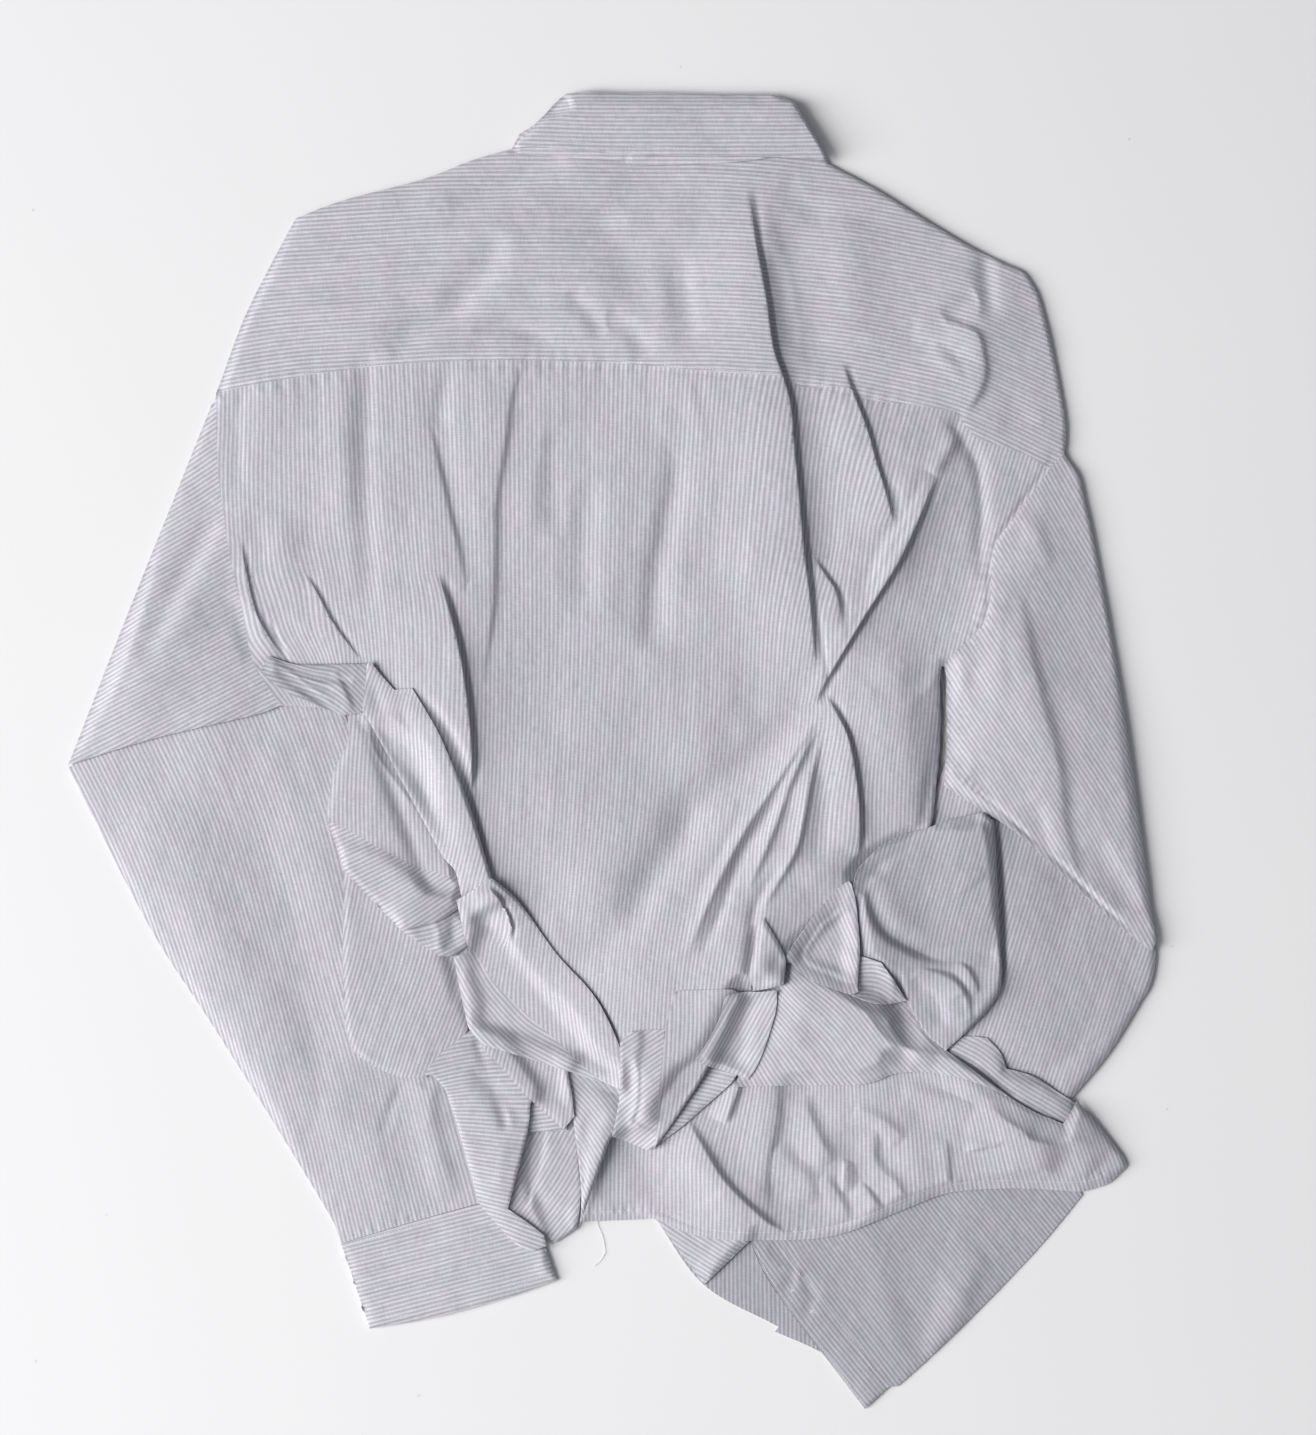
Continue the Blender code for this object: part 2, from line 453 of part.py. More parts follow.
def edge_distance(loop, points):
    """How far each point is from the loop."""
    nearest = np.full(len(points), np.inf)
    for a, b in zip(loop, np.roll(loop, -1, axis=0)):
        t = np.clip((points - a) @ (b - a) / max((b - a) @ (b - a), 1e-9), 0, 1)
        nearest = np.minimum(nearest, np.linalg.norm(points - a - t[:, None] * (b - a), axis=1))
    return nearest


def dome(distance, radius):
    """A round shoulder, from 0 at the edge to 1 at the radius and beyond."""
    return np.sin(0.5 * math.pi * np.clip(distance / radius, 0, 1))


def fold_axes(fold):
    """A fold's start, its run to its end, and the unit vector to its left."""
    start = np.array([fold.x1, fold.y1])
    run = np.array([fold.x2, fold.y2]) - start
    return start, run, np.array([-run[1], run[0]]) / np.linalg.norm(run)


def fold_points(folds, step):
    """Points along the crest and the steep foot of each fold, so that the triangles follow it."""
    kept = []
    for fold in folds:
        start, run, side = fold_axes(fold)
        t = np.linspace(0.04, 0.96, max(2, round(np.linalg.norm(run) / (1.1 * step))))
        foot = math.copysign(1.5 * fold.wide * (1 - abs(fold.lean)), fold.lean)
        for across in (0.0, foot):
            for point in start + np.outer(t, run) + np.outer(across + fold.bow * 4 * t * (1 - t), side):
                if all(math.dist(point, other) > 0.42 * step for other in kept):
                    kept.append(point)
    return np.array(kept).reshape(-1, 2)


def fold_heights(folds, points):
    """The height of the tallest ridge, less the deepest trough, at each of the points."""
    ridge, trough = np.zeros(len(points)), np.zeros(len(points))
    for fold in folds:
        start, run, side = fold_axes(fold)
        t = (points - start) @ run / (run @ run)
        across = (points - start) @ side - fold.bow * 4 * t * (1 - t)
        wide = fold.wide * np.where(across > 0, 1 - fold.lean, 1 + 0.6 * fold.lean)
        fade = 1 - (2 * np.clip(t, 0, 1) - 1) ** 4
        height = fold.high * fade * np.exp(-(across / wide) ** 2)
        ridge, trough = np.maximum(ridge, height), np.minimum(trough, height)
    return ridge + trough


def cut_flat(loop, step, folds):
    """The flat cut of a piece: its outline filled with triangles about one step wide."""
    points = [tuple(p) for p in loop]
    if step:
        low, high = loop.min(axis=0), loop.max(axis=0)
        row_height = step * math.sqrt(3) / 2
        rows = range(math.ceil(low[1] / row_height), math.floor(high[1] / row_height) + 1)
        columns = range(math.ceil(low[0] / step), math.floor(high[0] / step) + 1)
        grid = np.array([((column + 0.5 * (row % 2)) * step, row * row_height)
                         for row in rows for column in columns])
        along = fold_points(folds, step)
        apart = np.linalg.norm(grid[:, None] - along[None], axis=2).min(axis=1, initial=np.inf)
        grid = np.concatenate([grid[apart > 0.7 * step], along])
        keep = inside(loop, grid) & (edge_distance(loop, grid) > 0.5 * step)
        points += [tuple(p) for p in grid[keep]]
    border = list(range(len(loop)))
    cut = delaunay_2d_cdt([Vector(p) for p in points], [], [border], 1, 1e-3, False)
    verts, faces = np.array([tuple(v) for v in cut[0]]), np.array(cut[2])
    return verts, faces[inside(loop, verts[faces].mean(axis=1))]


class LaidPiece:
    """The top face of a piece that is already in the stack."""

    def __init__(self, verts, faces, top):
        self.verts = verts
        self.low, self.high = verts.min(axis=0), verts.max(axis=0)
        points = [(x, y, z) for (x, y), z in zip(verts, top)]
        self.tree = BVHTree.FromPolygons(points, faces.tolist())

    def height(self, x, y):
        """The height of the top face at a place, or the surface's where the piece isn't there."""
        hit = self.tree.ray_cast(Vector((x, y, 1000.0)), Vector((0.0, 0.0, -1.0)))[0]
        return 0.0 if hit is None else hit.z

    def meets(self, verts):
        """True where the piece's box meets that of the verts."""
        return bool(np.all(self.low < verts.max(axis=0)) and np.all(self.high > verts.min(axis=0)))


def test_places(verts, faces, covered):
    """Where a sheet is tested: all over its triangles, and at the corners of what it covers.

    Each place has its triangle's corners and the share that it takes of each of them.
    """
    owners, shares = [], []
    for face in faces:
        a, b, c = verts[face]
        longest = max(np.linalg.norm(b - a), np.linalg.norm(c - b), np.linalg.norm(a - c))
        parts = max(1, math.ceil(longest / TEST_STEP))
        for i in range(parts + 1):
            for j in range(parts + 1 - i):
                owners.append(face)
                shares.append(np.array([i, j, parts - i - j]) / parts)
    first, second = verts[faces[:, 1]] - verts[faces[:, 0]], verts[faces[:, 2]] - verts[faces[:, 0]]
    area = first[:, 0] * second[:, 1] - first[:, 1] * second[:, 0]
    for point in [p for below in covered for p in below.verts]:
        reach = point - verts[faces[:, 0]]
        u = (reach[:, 0] * second[:, 1] - reach[:, 1] * second[:, 0]) / area
        v = (first[:, 0] * reach[:, 1] - first[:, 1] * reach[:, 0]) / area
        for k in np.flatnonzero((u >= 0) & (v >= 0) & (u + v <= 1))[:1]:
            owners.append(faces[k])
            shares.append(np.array([1 - u[k] - v[k], u[k], v[k]]))
    return np.array(owners), np.array(shares)


def lift_clear(heights, floor, owners, shares):
    """Raise a sheet's points until it clears the floor at each place, then let it down on it."""
    for last in [False] * LIFT_ROUNDS + [True]:
        short = floor - np.sum(heights[owners] * shares, axis=1)
        low = short > 1e-4
        pull = shares[low] / np.sum(shares[low] ** 2, axis=1)[:, None]
        raised = np.zeros_like(heights)
        np.maximum.at(raised, owners[low], short[low][:, None] * (1.0 if last else pull))
        heights = heights + raised
    return heights - (np.sum(heights[owners] * shares, axis=1) - floor).min()


def settle(piece, verts, faces, stack):
    """The height of a sheet's underside at each of its points, taut over what it covers."""
    covered = [below for below in stack if below.meets(verts)]
    owners, shares = test_places(verts, faces, covered)
    places = np.einsum("ij,ijk->ik", shares, verts[owners])
    top = np.array([max([below.height(x, y) for below in covered], default=0.0) for x, y in places])
    floor = np.where(top > 0, top + REST_GAP, 0.0)
    heights = lift_clear(np.zeros(len(verts)), floor, owners, shares)
    if piece.wall is None:
        return np.full(len(verts), floor.max())
    ends = np.concatenate([faces[:, [0, 1]], faces[:, [1, 2]], faces[:, [2, 0]]])
    ends = np.concatenate([ends, ends[:, ::-1]])
    neighbours = np.bincount(ends[:, 0], minlength=len(verts))
    for _ in range(SETTLE_ROUNDS):
        mean = np.bincount(ends[:, 0], weights=heights[ends[:, 1]], minlength=len(verts)) / neighbours
        heights = lift_clear(0.4 * heights + 0.6 * mean, floor, owners, shares)
    edge = outline_points(BODY if piece.name in BODY_PIECES else piece.outline)
    rise = dome(edge_distance(edge, verts), EDGE_ROUND)
    heights = heights + piece.loft * (piece.rim + (1 - piece.rim) * rise) + fold_heights(piece.folds, verts)
    return lift_clear(heights, floor, owners, shares)


def wall_heights(piece, verts):
    """The height of a piece above its underside: its wall, or a dome for the bunched layers."""
    if piece.wall is not None:
        return np.full(len(verts), piece.wall)
    rise = dome(edge_distance(outline_points(piece.outline), verts), 2 * EDGE_ROUND)
    return piece.loft * (piece.rim + (1 - piece.rim) * rise)


def thicken(piece, verts, faces, under):
    """The closed wall of a piece: its underside, extruded upwards."""
    bm = bmesh.new()
    corners = [bm.verts.new((x * MM, y * MM, z * MM)) for (x, y), z in zip(verts, under)]
    for face in faces:
        bm.faces.new([corners[k] for k in face])
    bmesh.ops.delete(bm, geom=[v for v in bm.verts if not v.link_faces], context="VERTS")
    extruded = bmesh.ops.extrude_face_region(bm, geom=list(bm.faces))["geom"]
    upper = [item for item in extruded if isinstance(item, bmesh.types.BMVert)]
    spots = np.array([vert.co[:2] for vert in upper]) / MM
    for vert, wall in zip(upper, wall_heights(piece, spots)):
        vert.co.z += wall * MM
    bmesh.ops.recalc_face_normals(bm, faces=list(bm.faces))
    mesh = bpy.data.meshes.new(piece.name)
    bm.to_mesh(mesh)
    bm.free()
    return mesh


def cloth_material(name, colour):
    """A matt cloth of one colour."""
    material = bpy.data.materials.new(name)
    material.use_nodes = True
    shader = material.node_tree.nodes["Principled BSDF"]
    shader.inputs["Base Color"].default_value = (*colour, 1.0)
    shader.inputs["Roughness"].default_value = 0.9
    return material


def lay_piece(piece, stack, collection):
    """Lay one piece on the stack, and make its object."""
    verts, faces = cut_flat(outline_points(piece.outline), piece.step, piece.folds)
    under = settle(piece, verts, faces, stack) if piece.step else np.zeros(len(verts))
    stack.append(LaidPiece(verts, faces, under + wall_heights(piece, verts)))
    obj = bpy.data.objects.new(piece.name, thicken(piece, verts, faces, under))
    obj.data.materials.append(cloth_material(piece.name, piece.colour))
    collection.objects.link(obj)


for old in list(bpy.data.objects):
    bpy.data.objects.remove(old)
shirt = bpy.data.collections.new("crumpled_shirt")
bpy.context.scene.collection.children.link(shirt)
laid = []
for piece in STACK:
    lay_piece(piece, laid, shirt)
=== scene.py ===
import math
from collections import namedtuple

import bmesh
import bpy
import numpy as np
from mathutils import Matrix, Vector
from mathutils.bvhtree import BVHTree
from mathutils.geometry import delaunay_2d_cdt


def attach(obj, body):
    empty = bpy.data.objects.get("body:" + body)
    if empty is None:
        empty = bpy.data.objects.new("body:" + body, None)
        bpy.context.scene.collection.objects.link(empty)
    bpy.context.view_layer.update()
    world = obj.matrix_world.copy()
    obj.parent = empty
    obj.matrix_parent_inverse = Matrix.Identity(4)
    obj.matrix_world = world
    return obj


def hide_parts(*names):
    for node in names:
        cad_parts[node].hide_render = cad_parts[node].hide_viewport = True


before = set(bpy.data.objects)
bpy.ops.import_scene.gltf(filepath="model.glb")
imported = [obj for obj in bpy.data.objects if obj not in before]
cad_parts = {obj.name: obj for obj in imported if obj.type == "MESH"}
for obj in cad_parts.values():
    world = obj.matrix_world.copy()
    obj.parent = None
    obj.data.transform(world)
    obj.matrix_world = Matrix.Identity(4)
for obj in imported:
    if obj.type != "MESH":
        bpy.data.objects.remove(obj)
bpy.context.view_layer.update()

# The surface: a large painted board, pale and matt with a trace of lilac, that the shirt lies on.
# Its paint is a little uneven, with a few faint specks.
def linear(colour):
    """A hex colour as the eye sees it, turned into the linear values that a shader takes."""
    parts = [int(colour[k:k + 2], 16) / 255 for k in (1, 3, 5)]
    return (*[v / 12.92 if v <= 0.04045 else ((v + 0.055) / 1.055) ** 2.4 for v in parts], 1.0)


def add(tree, kind, inputs=(), **settings):
    """One shader node, with its settings, its inputs linked or set."""
    node = tree.nodes.new("ShaderNode" + kind)
    for key, value in settings.items():
        setattr(node, key, value)
    for key, value in dict(inputs).items():
        if isinstance(value, bpy.types.NodeSocket):
            tree.links.new(value, node.inputs[key])
        else:
            node.inputs[key].default_value = value
    return node


def start_material(name):
    """An empty material: its node tree, its shader and the object's own coordinates."""
    material = bpy.data.materials.new(name)
    material.use_nodes = True
    tree = material.node_tree
    return material, tree, tree.nodes["Principled BSDF"], add(tree, "TexCoord").outputs["Object"]


painted_board, tree, shader, place = start_material("matt_white_paint")
clouds = add(tree, "TexNoise", {"Vector": place, "Scale": 3.0, "Detail": 2.0}).outputs["Fac"]
specks = add(tree, "TexVoronoi", {"Vector": place, "Scale": 26.0}).outputs["Distance"]
speck = add(tree, "MapRange", {"Value": specks, "From Min": 0.012, "From Max": 0.03}).outputs["Result"]
paint = add(tree, "Mix", {"Factor": clouds, "A": linear("#eeeef1"), "B": linear("#f2f2f3")},
            data_type="RGBA")
dusty = add(tree, "Mix", {"Factor": speck, "A": linear("#d9d8da"), "B": paint.outputs["Result"]},
            data_type="RGBA")
tree.links.new(dusty.outputs["Result"], shader.inputs["Base Color"])
shader.inputs["Roughness"].default_value = 0.75
bpy.ops.mesh.primitive_grid_add(x_subdivisions=8, y_subdivisions=8, size=6.0, location=(0, 0, 0))
board = bpy.context.object
board.name = "painted_board"
board.data.materials.append(painted_board)

# The two fronts, face down on the surface under the back: shirting, one layer, with the button placket
# folded and sewn along the right front's edge. The right front's lower corner shows, inside out.
MM = 0.001
CELL = 1.0                      # the heap of cloth is measured on squares of this size, in millimetres
WEST, SOUTH = -350.0, -422.0    # the corner of the squares
columns = WEST + CELL * (np.arange(700) + 0.5)
rows = SOUTH + CELL * (np.arange(844) + 0.5)
ONE_LAYER, INTERLINED = 0.7, 1.6                # how thick one layer lies, and two with an interlining
TAUT = 0.25                                     # and one layer that is pulled tight
AIR, CLEAR = 0.25, 0.1                          # the air between two layers, and the least of it
TUCKED = 0.15                                   # the air over a piece that is tucked under another
TOUCH = 1.9                                     # outlines nearer than this are one edge
NEAR_EDGE = 30.0                                # no place farther in than this feels the free edge
MARGIN = 7                                      # squares kept round each piece
SAMPLE = 3                                      # a node's height is measured on every third square
ABOVE_ALL = 500.0                               # a height over everything here
heap = []                                       # what is laid so far: names, place, cover and heights
laid = {}                                       # each piece's outline and heights, once it is laid
drifts = {}                                     # and how far its creases lean east over their feet

Crease = namedtuple("Crease", "path wide high lean sharp over", defaults=(0.0, 0.0, 0.0))


def cad_sheet(node):
    """The outline of a CAD node's sheet, in millimetres, and its upper face to measure heights on."""
    bm = bmesh.new()
    bm.from_mesh(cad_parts[node].data)
    bmesh.ops.remove_doubles(bm, verts=bm.verts, dist=2e-6)
    bm.normal_update()
    bm.verts.index_update()
    upper = {face for face in bm.faces if face.normal.z > 0.03}
    after = {}
    for edge in bm.edges:
        owners = [loop for loop in edge.link_loops if loop.face in upper]
        if len(owners) == 1:
            after[owners[0].vert.index] = owners[0].link_loop_next.vert.index
    points = np.array([vert.co for vert in bm.verts]) / MM
    tree = BVHTree.FromPolygons(points.tolist(), [[vert.index for vert in face.verts] for face in upper])
    first = spot = next(iter(after))
    loop = []
    while spot in after:
        loop.append(points[spot, :2])
        spot = after.pop(spot)
    bm.free()
    return np.array(loop), tree


def through(points, step, closed=False, corner=0.5):
    """A smooth curve through the points, about one step apart; corners sharper than corner stay sharp."""
    points = np.array(points, dtype=float)
    if closed:
        before, after = points - np.roll(points, 1, axis=0), np.roll(points, -1, axis=0) - points
    else:
        runs = np.diff(points, axis=0)
        before, after = np.concatenate([runs[:1], runs]), np.concatenate([runs, runs[-1:]])
    turn = np.abs(np.arctan2(before[:, 0] * after[:, 1] - before[:, 1] * after[:, 0],
                             np.sum(before * after, axis=1)))
    curve = []
    for k in range(len(points) if closed else len(points) - 1):
        j = (k + 1) % len(points)
        chord = points[j] - points[k]
        size = np.linalg.norm(chord)
        slopes = []
        for n in (k, j):
            mean = 0.5 * (before[n] + after[n])
            slopes.append(chord if turn[n] > corner else mean * size / max(np.linalg.norm(mean), 1e-6))
        count = max(1, round(size / step))
        for t in np.arange(count) / count:
            curve.append((2 * t ** 3 - 3 * t ** 2 + 1) * points[k] + (t ** 3 - 2 * t ** 2 + t) * slopes[0]
                         + (3 * t ** 2 - 2 * t ** 3) * points[j] + (t ** 3 - t ** 2) * slopes[1])
    return np.array(curve if closed else curve + [points[-1]])


def along_new_edge(loop, path):
    """The outline with the stretch beside an open path replaced by that path."""
    start, end = [int(np.argmin(np.hypot(*(loop - path[k]).T))) for k in (0, -1)]
    ahead = (end - start) % len(loop)
    if ahead > len(loop) / 2:
        start, end, path, ahead = end, start, path[::-1], len(loop) - ahead
    kept = [(end + k) % len(loop) for k in range(1, len(loop) - ahead)]
    return np.concatenate([path, loop[kept]])


def part_of(line, marks, margin):
    """The slice of the grid's marks that a line of places covers, with a margin."""
    return slice(*np.searchsorted(marks, [line.min() - margin, line.max() + margin]))


def inside(loop, xs, ys):
    """True for each crossing of the columns and rows that lies within the loop."""
    hit = np.zeros((len(ys), len(xs)), dtype=bool)
    for (ax, ay), (bx, by) in zip(loop, np.roll(loop, -1, axis=0)):
        if ay != by:
            span = slice(*np.searchsorted(ys, sorted((ay, by))))
            hit[span] ^= xs[None, :] < (ax + (ys[span] - ay) * (bx - ax) / (by - ay))[:, None]
    return hit


def covers(loop, spots):
    """True for each of the spots that lies within the loop."""
    hit = np.zeros(len(spots), dtype=bool)
    for (ax, ay), (bx, by) in zip(loop, np.roll(loop, -1, axis=0)):
        if ay != by:
            level = (spots[:, 1] >= min(ay, by)) & (spots[:, 1] < max(ay, by))
            hit[level] ^= spots[level, 0] < ax + (spots[level, 1] - ay) * (bx - ax) / (by - ay)
    return hit


def distance(stretches, xs, ys, reach):
    """How far each crossing is from the nearest of the straight stretches, up to reach."""
    away = np.full((len(ys), len(xs)), reach)
    for a, b in stretches:
        across = part_of(np.array([a[0], b[0]]), xs, reach)
        down = part_of(np.array([a[1], b[1]]), ys, reach)
        gx, gy = xs[across][None, :] - a[0], ys[down][:, None] - a[1]
        run = b - a
        t = np.clip((gx * run[0] + gy * run[1]) / max(run @ run, 1e-9), 0, 1)
        away[down, across] = np.minimum(away[down, across], np.hypot(gx - t * run[0], gy - t * run[1]))
    return away


def spread(field, size, axis):
    """A running mean of the field over size squares to each side."""
    edges = [(0, 0), (0, 0)]
    edges[axis] = (size + 1, size)
    run = np.cumsum(np.pad(field, edges), axis=axis)
    count = run.shape[axis] - 2 * size - 1
    ahead = np.take(run, range(2 * size + 1, run.shape[axis]), axis)
    return (ahead - np.take(run, range(count), axis)) / (2 * size + 1)


def soften(field, known, reach):
    """The field averaged over about reach millimetres, from the places where it is known."""
    size = max(1, round(reach / CELL))
    total, weight = np.where(known, field, 0.0), known.astype(float)
    for axis in (0, 1, 0, 1, 0, 1):
        total, weight = spread(total, size, axis), spread(weight, size, axis)
    return total / np.maximum(weight, 1e-6)


def highest_near(field, size):
    """The highest value within size squares of each place."""
    for axis in (0, 1):
        field = np.max([np.roll(field, k, axis) for k in range(-size, size + 1)], axis=0)
    return field


def beside(path, xs, ys, reach):
    """The part of the grid within reach of a path.

    It comes with how far off the path each crossing is, whether it is at the path's left, how far
    along it is, and how long the whole path is.
    """
    line = through(path, 4.0, corner=9.0)
    lengths = np.concatenate([[0], np.cumsum(np.linalg.norm(np.diff(line, axis=0), axis=1))])
    window = part_of(line[:, 1], ys, reach), part_of(line[:, 0], xs, reach)
    gx, gy = np.meshgrid(xs[window[1]], ys[window[0]])
    nearest, left, along = np.full(gx.shape, np.inf), np.zeros(gx.shape, dtype=bool), np.zeros(gx.shape)
    for k, (a, b) in enumerate(zip(line, line[1:])):
        run, size = b - a, lengths[k + 1] - lengths[k]
        t = np.clip(((gx - a[0]) * run[0] + (gy - a[1]) * run[1]) / size ** 2, 0, 1)
        gap = np.hypot(gx - a[0] - t * run[0], gy - a[1] - t * run[1])
        closer = gap < nearest
        nearest = np.where(closer, gap, nearest)
        left = np.where(closer, run[0] * (gy - a[1]) > run[1] * (gx - a[0]), left)
        along = np.where(closer, lengths[k] + t * size, along)
    return window, nearest, left, along, lengths[-1]


def raised(creases, xs, ys):
    """The height that creases add: the tallest ridge, less the deepest trough, at each crossing.

    A crease follows its path; wide is its half width, high its height in millimetres, below 0 for a
    trough. With a lean above 0 its left side, looking along it, is the steep one, below 0 its right
    side. Sharp goes from 0 to 1, and over is how far its crest leans out over its foot.
    """
    ridge, trough = np.zeros((len(ys), len(xs))), np.zeros((len(ys), len(xs)))
    for path, wide, high, lean, sharp, _ in creases:
        window, nearest, left, along, whole = beside(path, xs, ys, 4 * wide)
        steep, easy = 1 - abs(lean), 1 + 0.6 * abs(lean)
        reach = wide * np.where(left == (lean > 0), steep, easy)
        fading = 1 - (2 * along / whole - 1) ** 4
        height = high * fading * np.exp(-(nearest / reach) ** (2 - 0.9 * sharp))
        ridge[window] = np.maximum(ridge[window], height)
        trough[window] = np.minimum(trough[window], height)
    return ridge + trough


def leaned(creases, xs, ys):
    """How far east each crossing is drawn by creases that lean over their foot."""
    total = np.zeros((len(ys), len(xs)))
    for path, wide, _, lean, _, over in creases:
        if over > 0:
            window, nearest, left, along, whole = beside(path, xs, ys, 4 * over)
            reach = np.where(left == (lean > 0), 0.5 * over, 4 * over)
            drawn = over * (1 - (2 * along / whole - 1) ** 4) * np.exp(-(nearest / reach) ** 2)
            total[window] = np.maximum(total[window], drawn)
    return total


def puckered(seams, xs, ys):
    """The small ripples that a row of stitches draws up along each (path, height, spacing, reach)."""
    total = np.zeros((len(ys), len(xs)))
    for k, (path, high, spacing, reach) in enumerate(seams):
        window, nearest, _, along, _ = beside(path, xs, ys, 4 * reach)
        phase = 2 * math.pi * along / spacing + 1.9 * np.sin(along / (1.7 * spacing) + k)
        swell = 0.6 + 0.4 * np.sin(along / (3.1 * spacing) + 2 * k)
        total[window] += high * swell * np.sin(phase) * np.exp(-nearest / reach)
    return total


def handled(xs, ys, size, high, seed):
    """The soft unevenness of cloth that has been handled: waves about size across."""
    chance = np.random.default_rng(seed).standard_normal((int(860 / size) + 4, int(720 / size) + 4))
    total = chance
    for marks, start, axis in ((ys, SOUTH, 0), (xs, WEST, 1)):
        place = (marks - start) / size + 1
        k = place.astype(int)
        f = (place - k) ** 2 * (3 - 2 * (place - k))
        f = f[:, None] if axis == 0 else f[None, :]
        total = np.take(total, k, axis) * (1 - f) + np.take(total, k + 1, axis) * f
    return high * total


def meet(loop, others):
    """The outline with its points beside another piece's outline moved to halfway between the two."""
    met = loop.copy()
    for other in others:
        ahead = np.roll(other, -1, axis=0)
        for k, spot in enumerate(loop):
            run = ahead - other
            sizes = np.maximum(np.sum(run * run, axis=1), 1e-9)
            t = np.clip(np.sum((spot - other) * run, axis=1) / sizes, 0, 1)
            gap = other + t[:, None] * run - spot
            nearest = gap[np.argmin(np.sum(gap * gap, axis=1))]
            size = math.hypot(*nearest)
            if 1e-6 < size < TOUCH:
                met[k] = spot + nearest * (0.5 + 0.12 / size)
    return met


def lay(names, wall=ONE_LAYER, roll=2.4, even=14.0, creases=(), seams=(), uneven=0.25, joined=(),
        edges=(), under=(), edge=2.2, crown=(40.0, 40.0)):
    """Lay pieces that are one stretch of cloth on the heap, in the form of their CAD nodes.

    roll is how far in from its free edge the cloth comes up off the heap, edge how high it stands
    there at the right, where it is freer than at the left, and even how far the node's form is
    averaged before the creases go on; it stands no higher off the heap than crown, which has one
    height for its left side and one for its right. Seams pucker it and uneven is how rumpled it is.
    Joined names pieces laid before that it is sewn to, edges are stretches of outline drawn anew,
    and under names pieces laid before that this one is tucked under.
    """
    sheets = {name: cad_sheet(name) for name in names}
    loops = {name: through(sheets[name][0], 2.0, closed=True) for name in names}
    for name, path in edges:
        loops[name] = along_new_edge(loops[name], through(path, 2.0, corner=0.7))
    if len(names) > 1:
        loops = {name: meet(loop, [other for title, other in loops.items() if title != name])
                 for name, loop in loops.items()}
    spots = np.concatenate(list(loops.values()))
    down, over = part_of(spots[:, 1], rows, MARGIN), part_of(spots[:, 0], columns, MARGIN)
    xs, ys = columns[over], rows[down]
    within = np.any([inside(loop, xs, ys) for loop in loops.values()], axis=0)
    near = highest_near(within, 3)
    neighbours = {**loops, **{name: laid[name][0] for name in joined}}
    free = []
    for name, loop in loops.items():
        ahead = np.roll(loop, -1, axis=0)
        rivals = [other for title, other in neighbours.items() if title != name]
        for a, b in zip(loop, ahead):
            if all(np.min(np.hypot(*(other - 0.5 * (a + b)).T)) > TOUCH for other in rivals):
                free.append((a, b))
    cad, known = np.zeros(near.shape), np.zeros(near.shape, dtype=bool)
    for j in range(0, len(ys), SAMPLE):
        for i in range(0, len(xs), SAMPLE):
            if within[j, i]:
                for _, tree in sheets.values():
                    hit = tree.ray_cast(Vector((xs[i], ys[j], ABOVE_ALL)), Vector((0, 0, -1)))[0]
                    if hit is not None:
                        cad[j, i], known[j, i] = hit.z, True
    below = np.zeros((len(rows), len(columns)))
    above = np.full(below.shape, np.inf)
    for others, window, covered, heights in heap:
        if any(name in under for name in others):
            room = np.minimum(above[window], heights - wall - TUCKED)
            above[window] = np.where(covered, room, above[window])
        else:
            below[window] = np.where(covered, np.maximum(below[window], heights), below[window])
    below, above = below[down, over], above[down, over]
    rest = soften(highest_near(below, 2), near, 2.0) + wall + AIR
    form = soften(cad, known, even) + raised(creases, xs, ys) + puckered(seams, xs, ys)
    form += handled(xs, ys, 34, uneven, 3) + handled(xs, ys, 15, 0.35 * uneven, 4)
    lift = form - rest
    lift = 0.5 * (lift + np.sqrt(lift * lift + 0.5))
    away = distance(free, xs, ys, NEAR_EDGE)
    rise = 0.6 + 0.4 * np.sin(0.5 * math.pi * np.minimum(away / roll, 1.0))
    turned = spread(spread(np.gradient(away, axis=1), 2, 0), 2, 1)
    most = edge * (0.65 - 0.3 * np.clip(2 * turned, -1, 1)) + 0.3 * away + 0.03 * away ** 2
    share = np.cumsum(within, axis=1) / np.maximum(within.sum(axis=1), 1)[:, None]
    most = np.minimum(most, crown[0] + (crown[1] - crown[0]) * share)
    lift = 0.5 * (lift + most - np.sqrt((lift - most) ** 2 + 0.6))
    height = np.maximum(np.minimum(rest + lift * rise, above), below + wall + CLEAR)
    heap.append((names, (down, over), within, height))
    for name in names:
        laid[name] = (loops[name], xs, ys, height)
    drifts.update({name: leaned(creases, xs, ys) * near for name in names})


def height_at(name, spots, field=None):
    """The height of a laid piece, or another field on its squares, at each of the spots."""
    _, xs, ys, height = laid[name]
    height = height if field is None else field
    u = np.clip((spots[:, 0] - xs[0]) / CELL, 0, len(xs) - 1.001)
    v = np.clip((spots[:, 1] - ys[0]) / CELL, 0, len(ys) - 1.001)
    i, j = u.astype(int), v.astype(int)
    u, v = u - i, v - j
    return ((height[j, i] * (1 - u) + height[j, i + 1] * u) * (1 - v)
            + (height[j + 1, i] * (1 - u) + height[j + 1, i + 1] * u) * v)


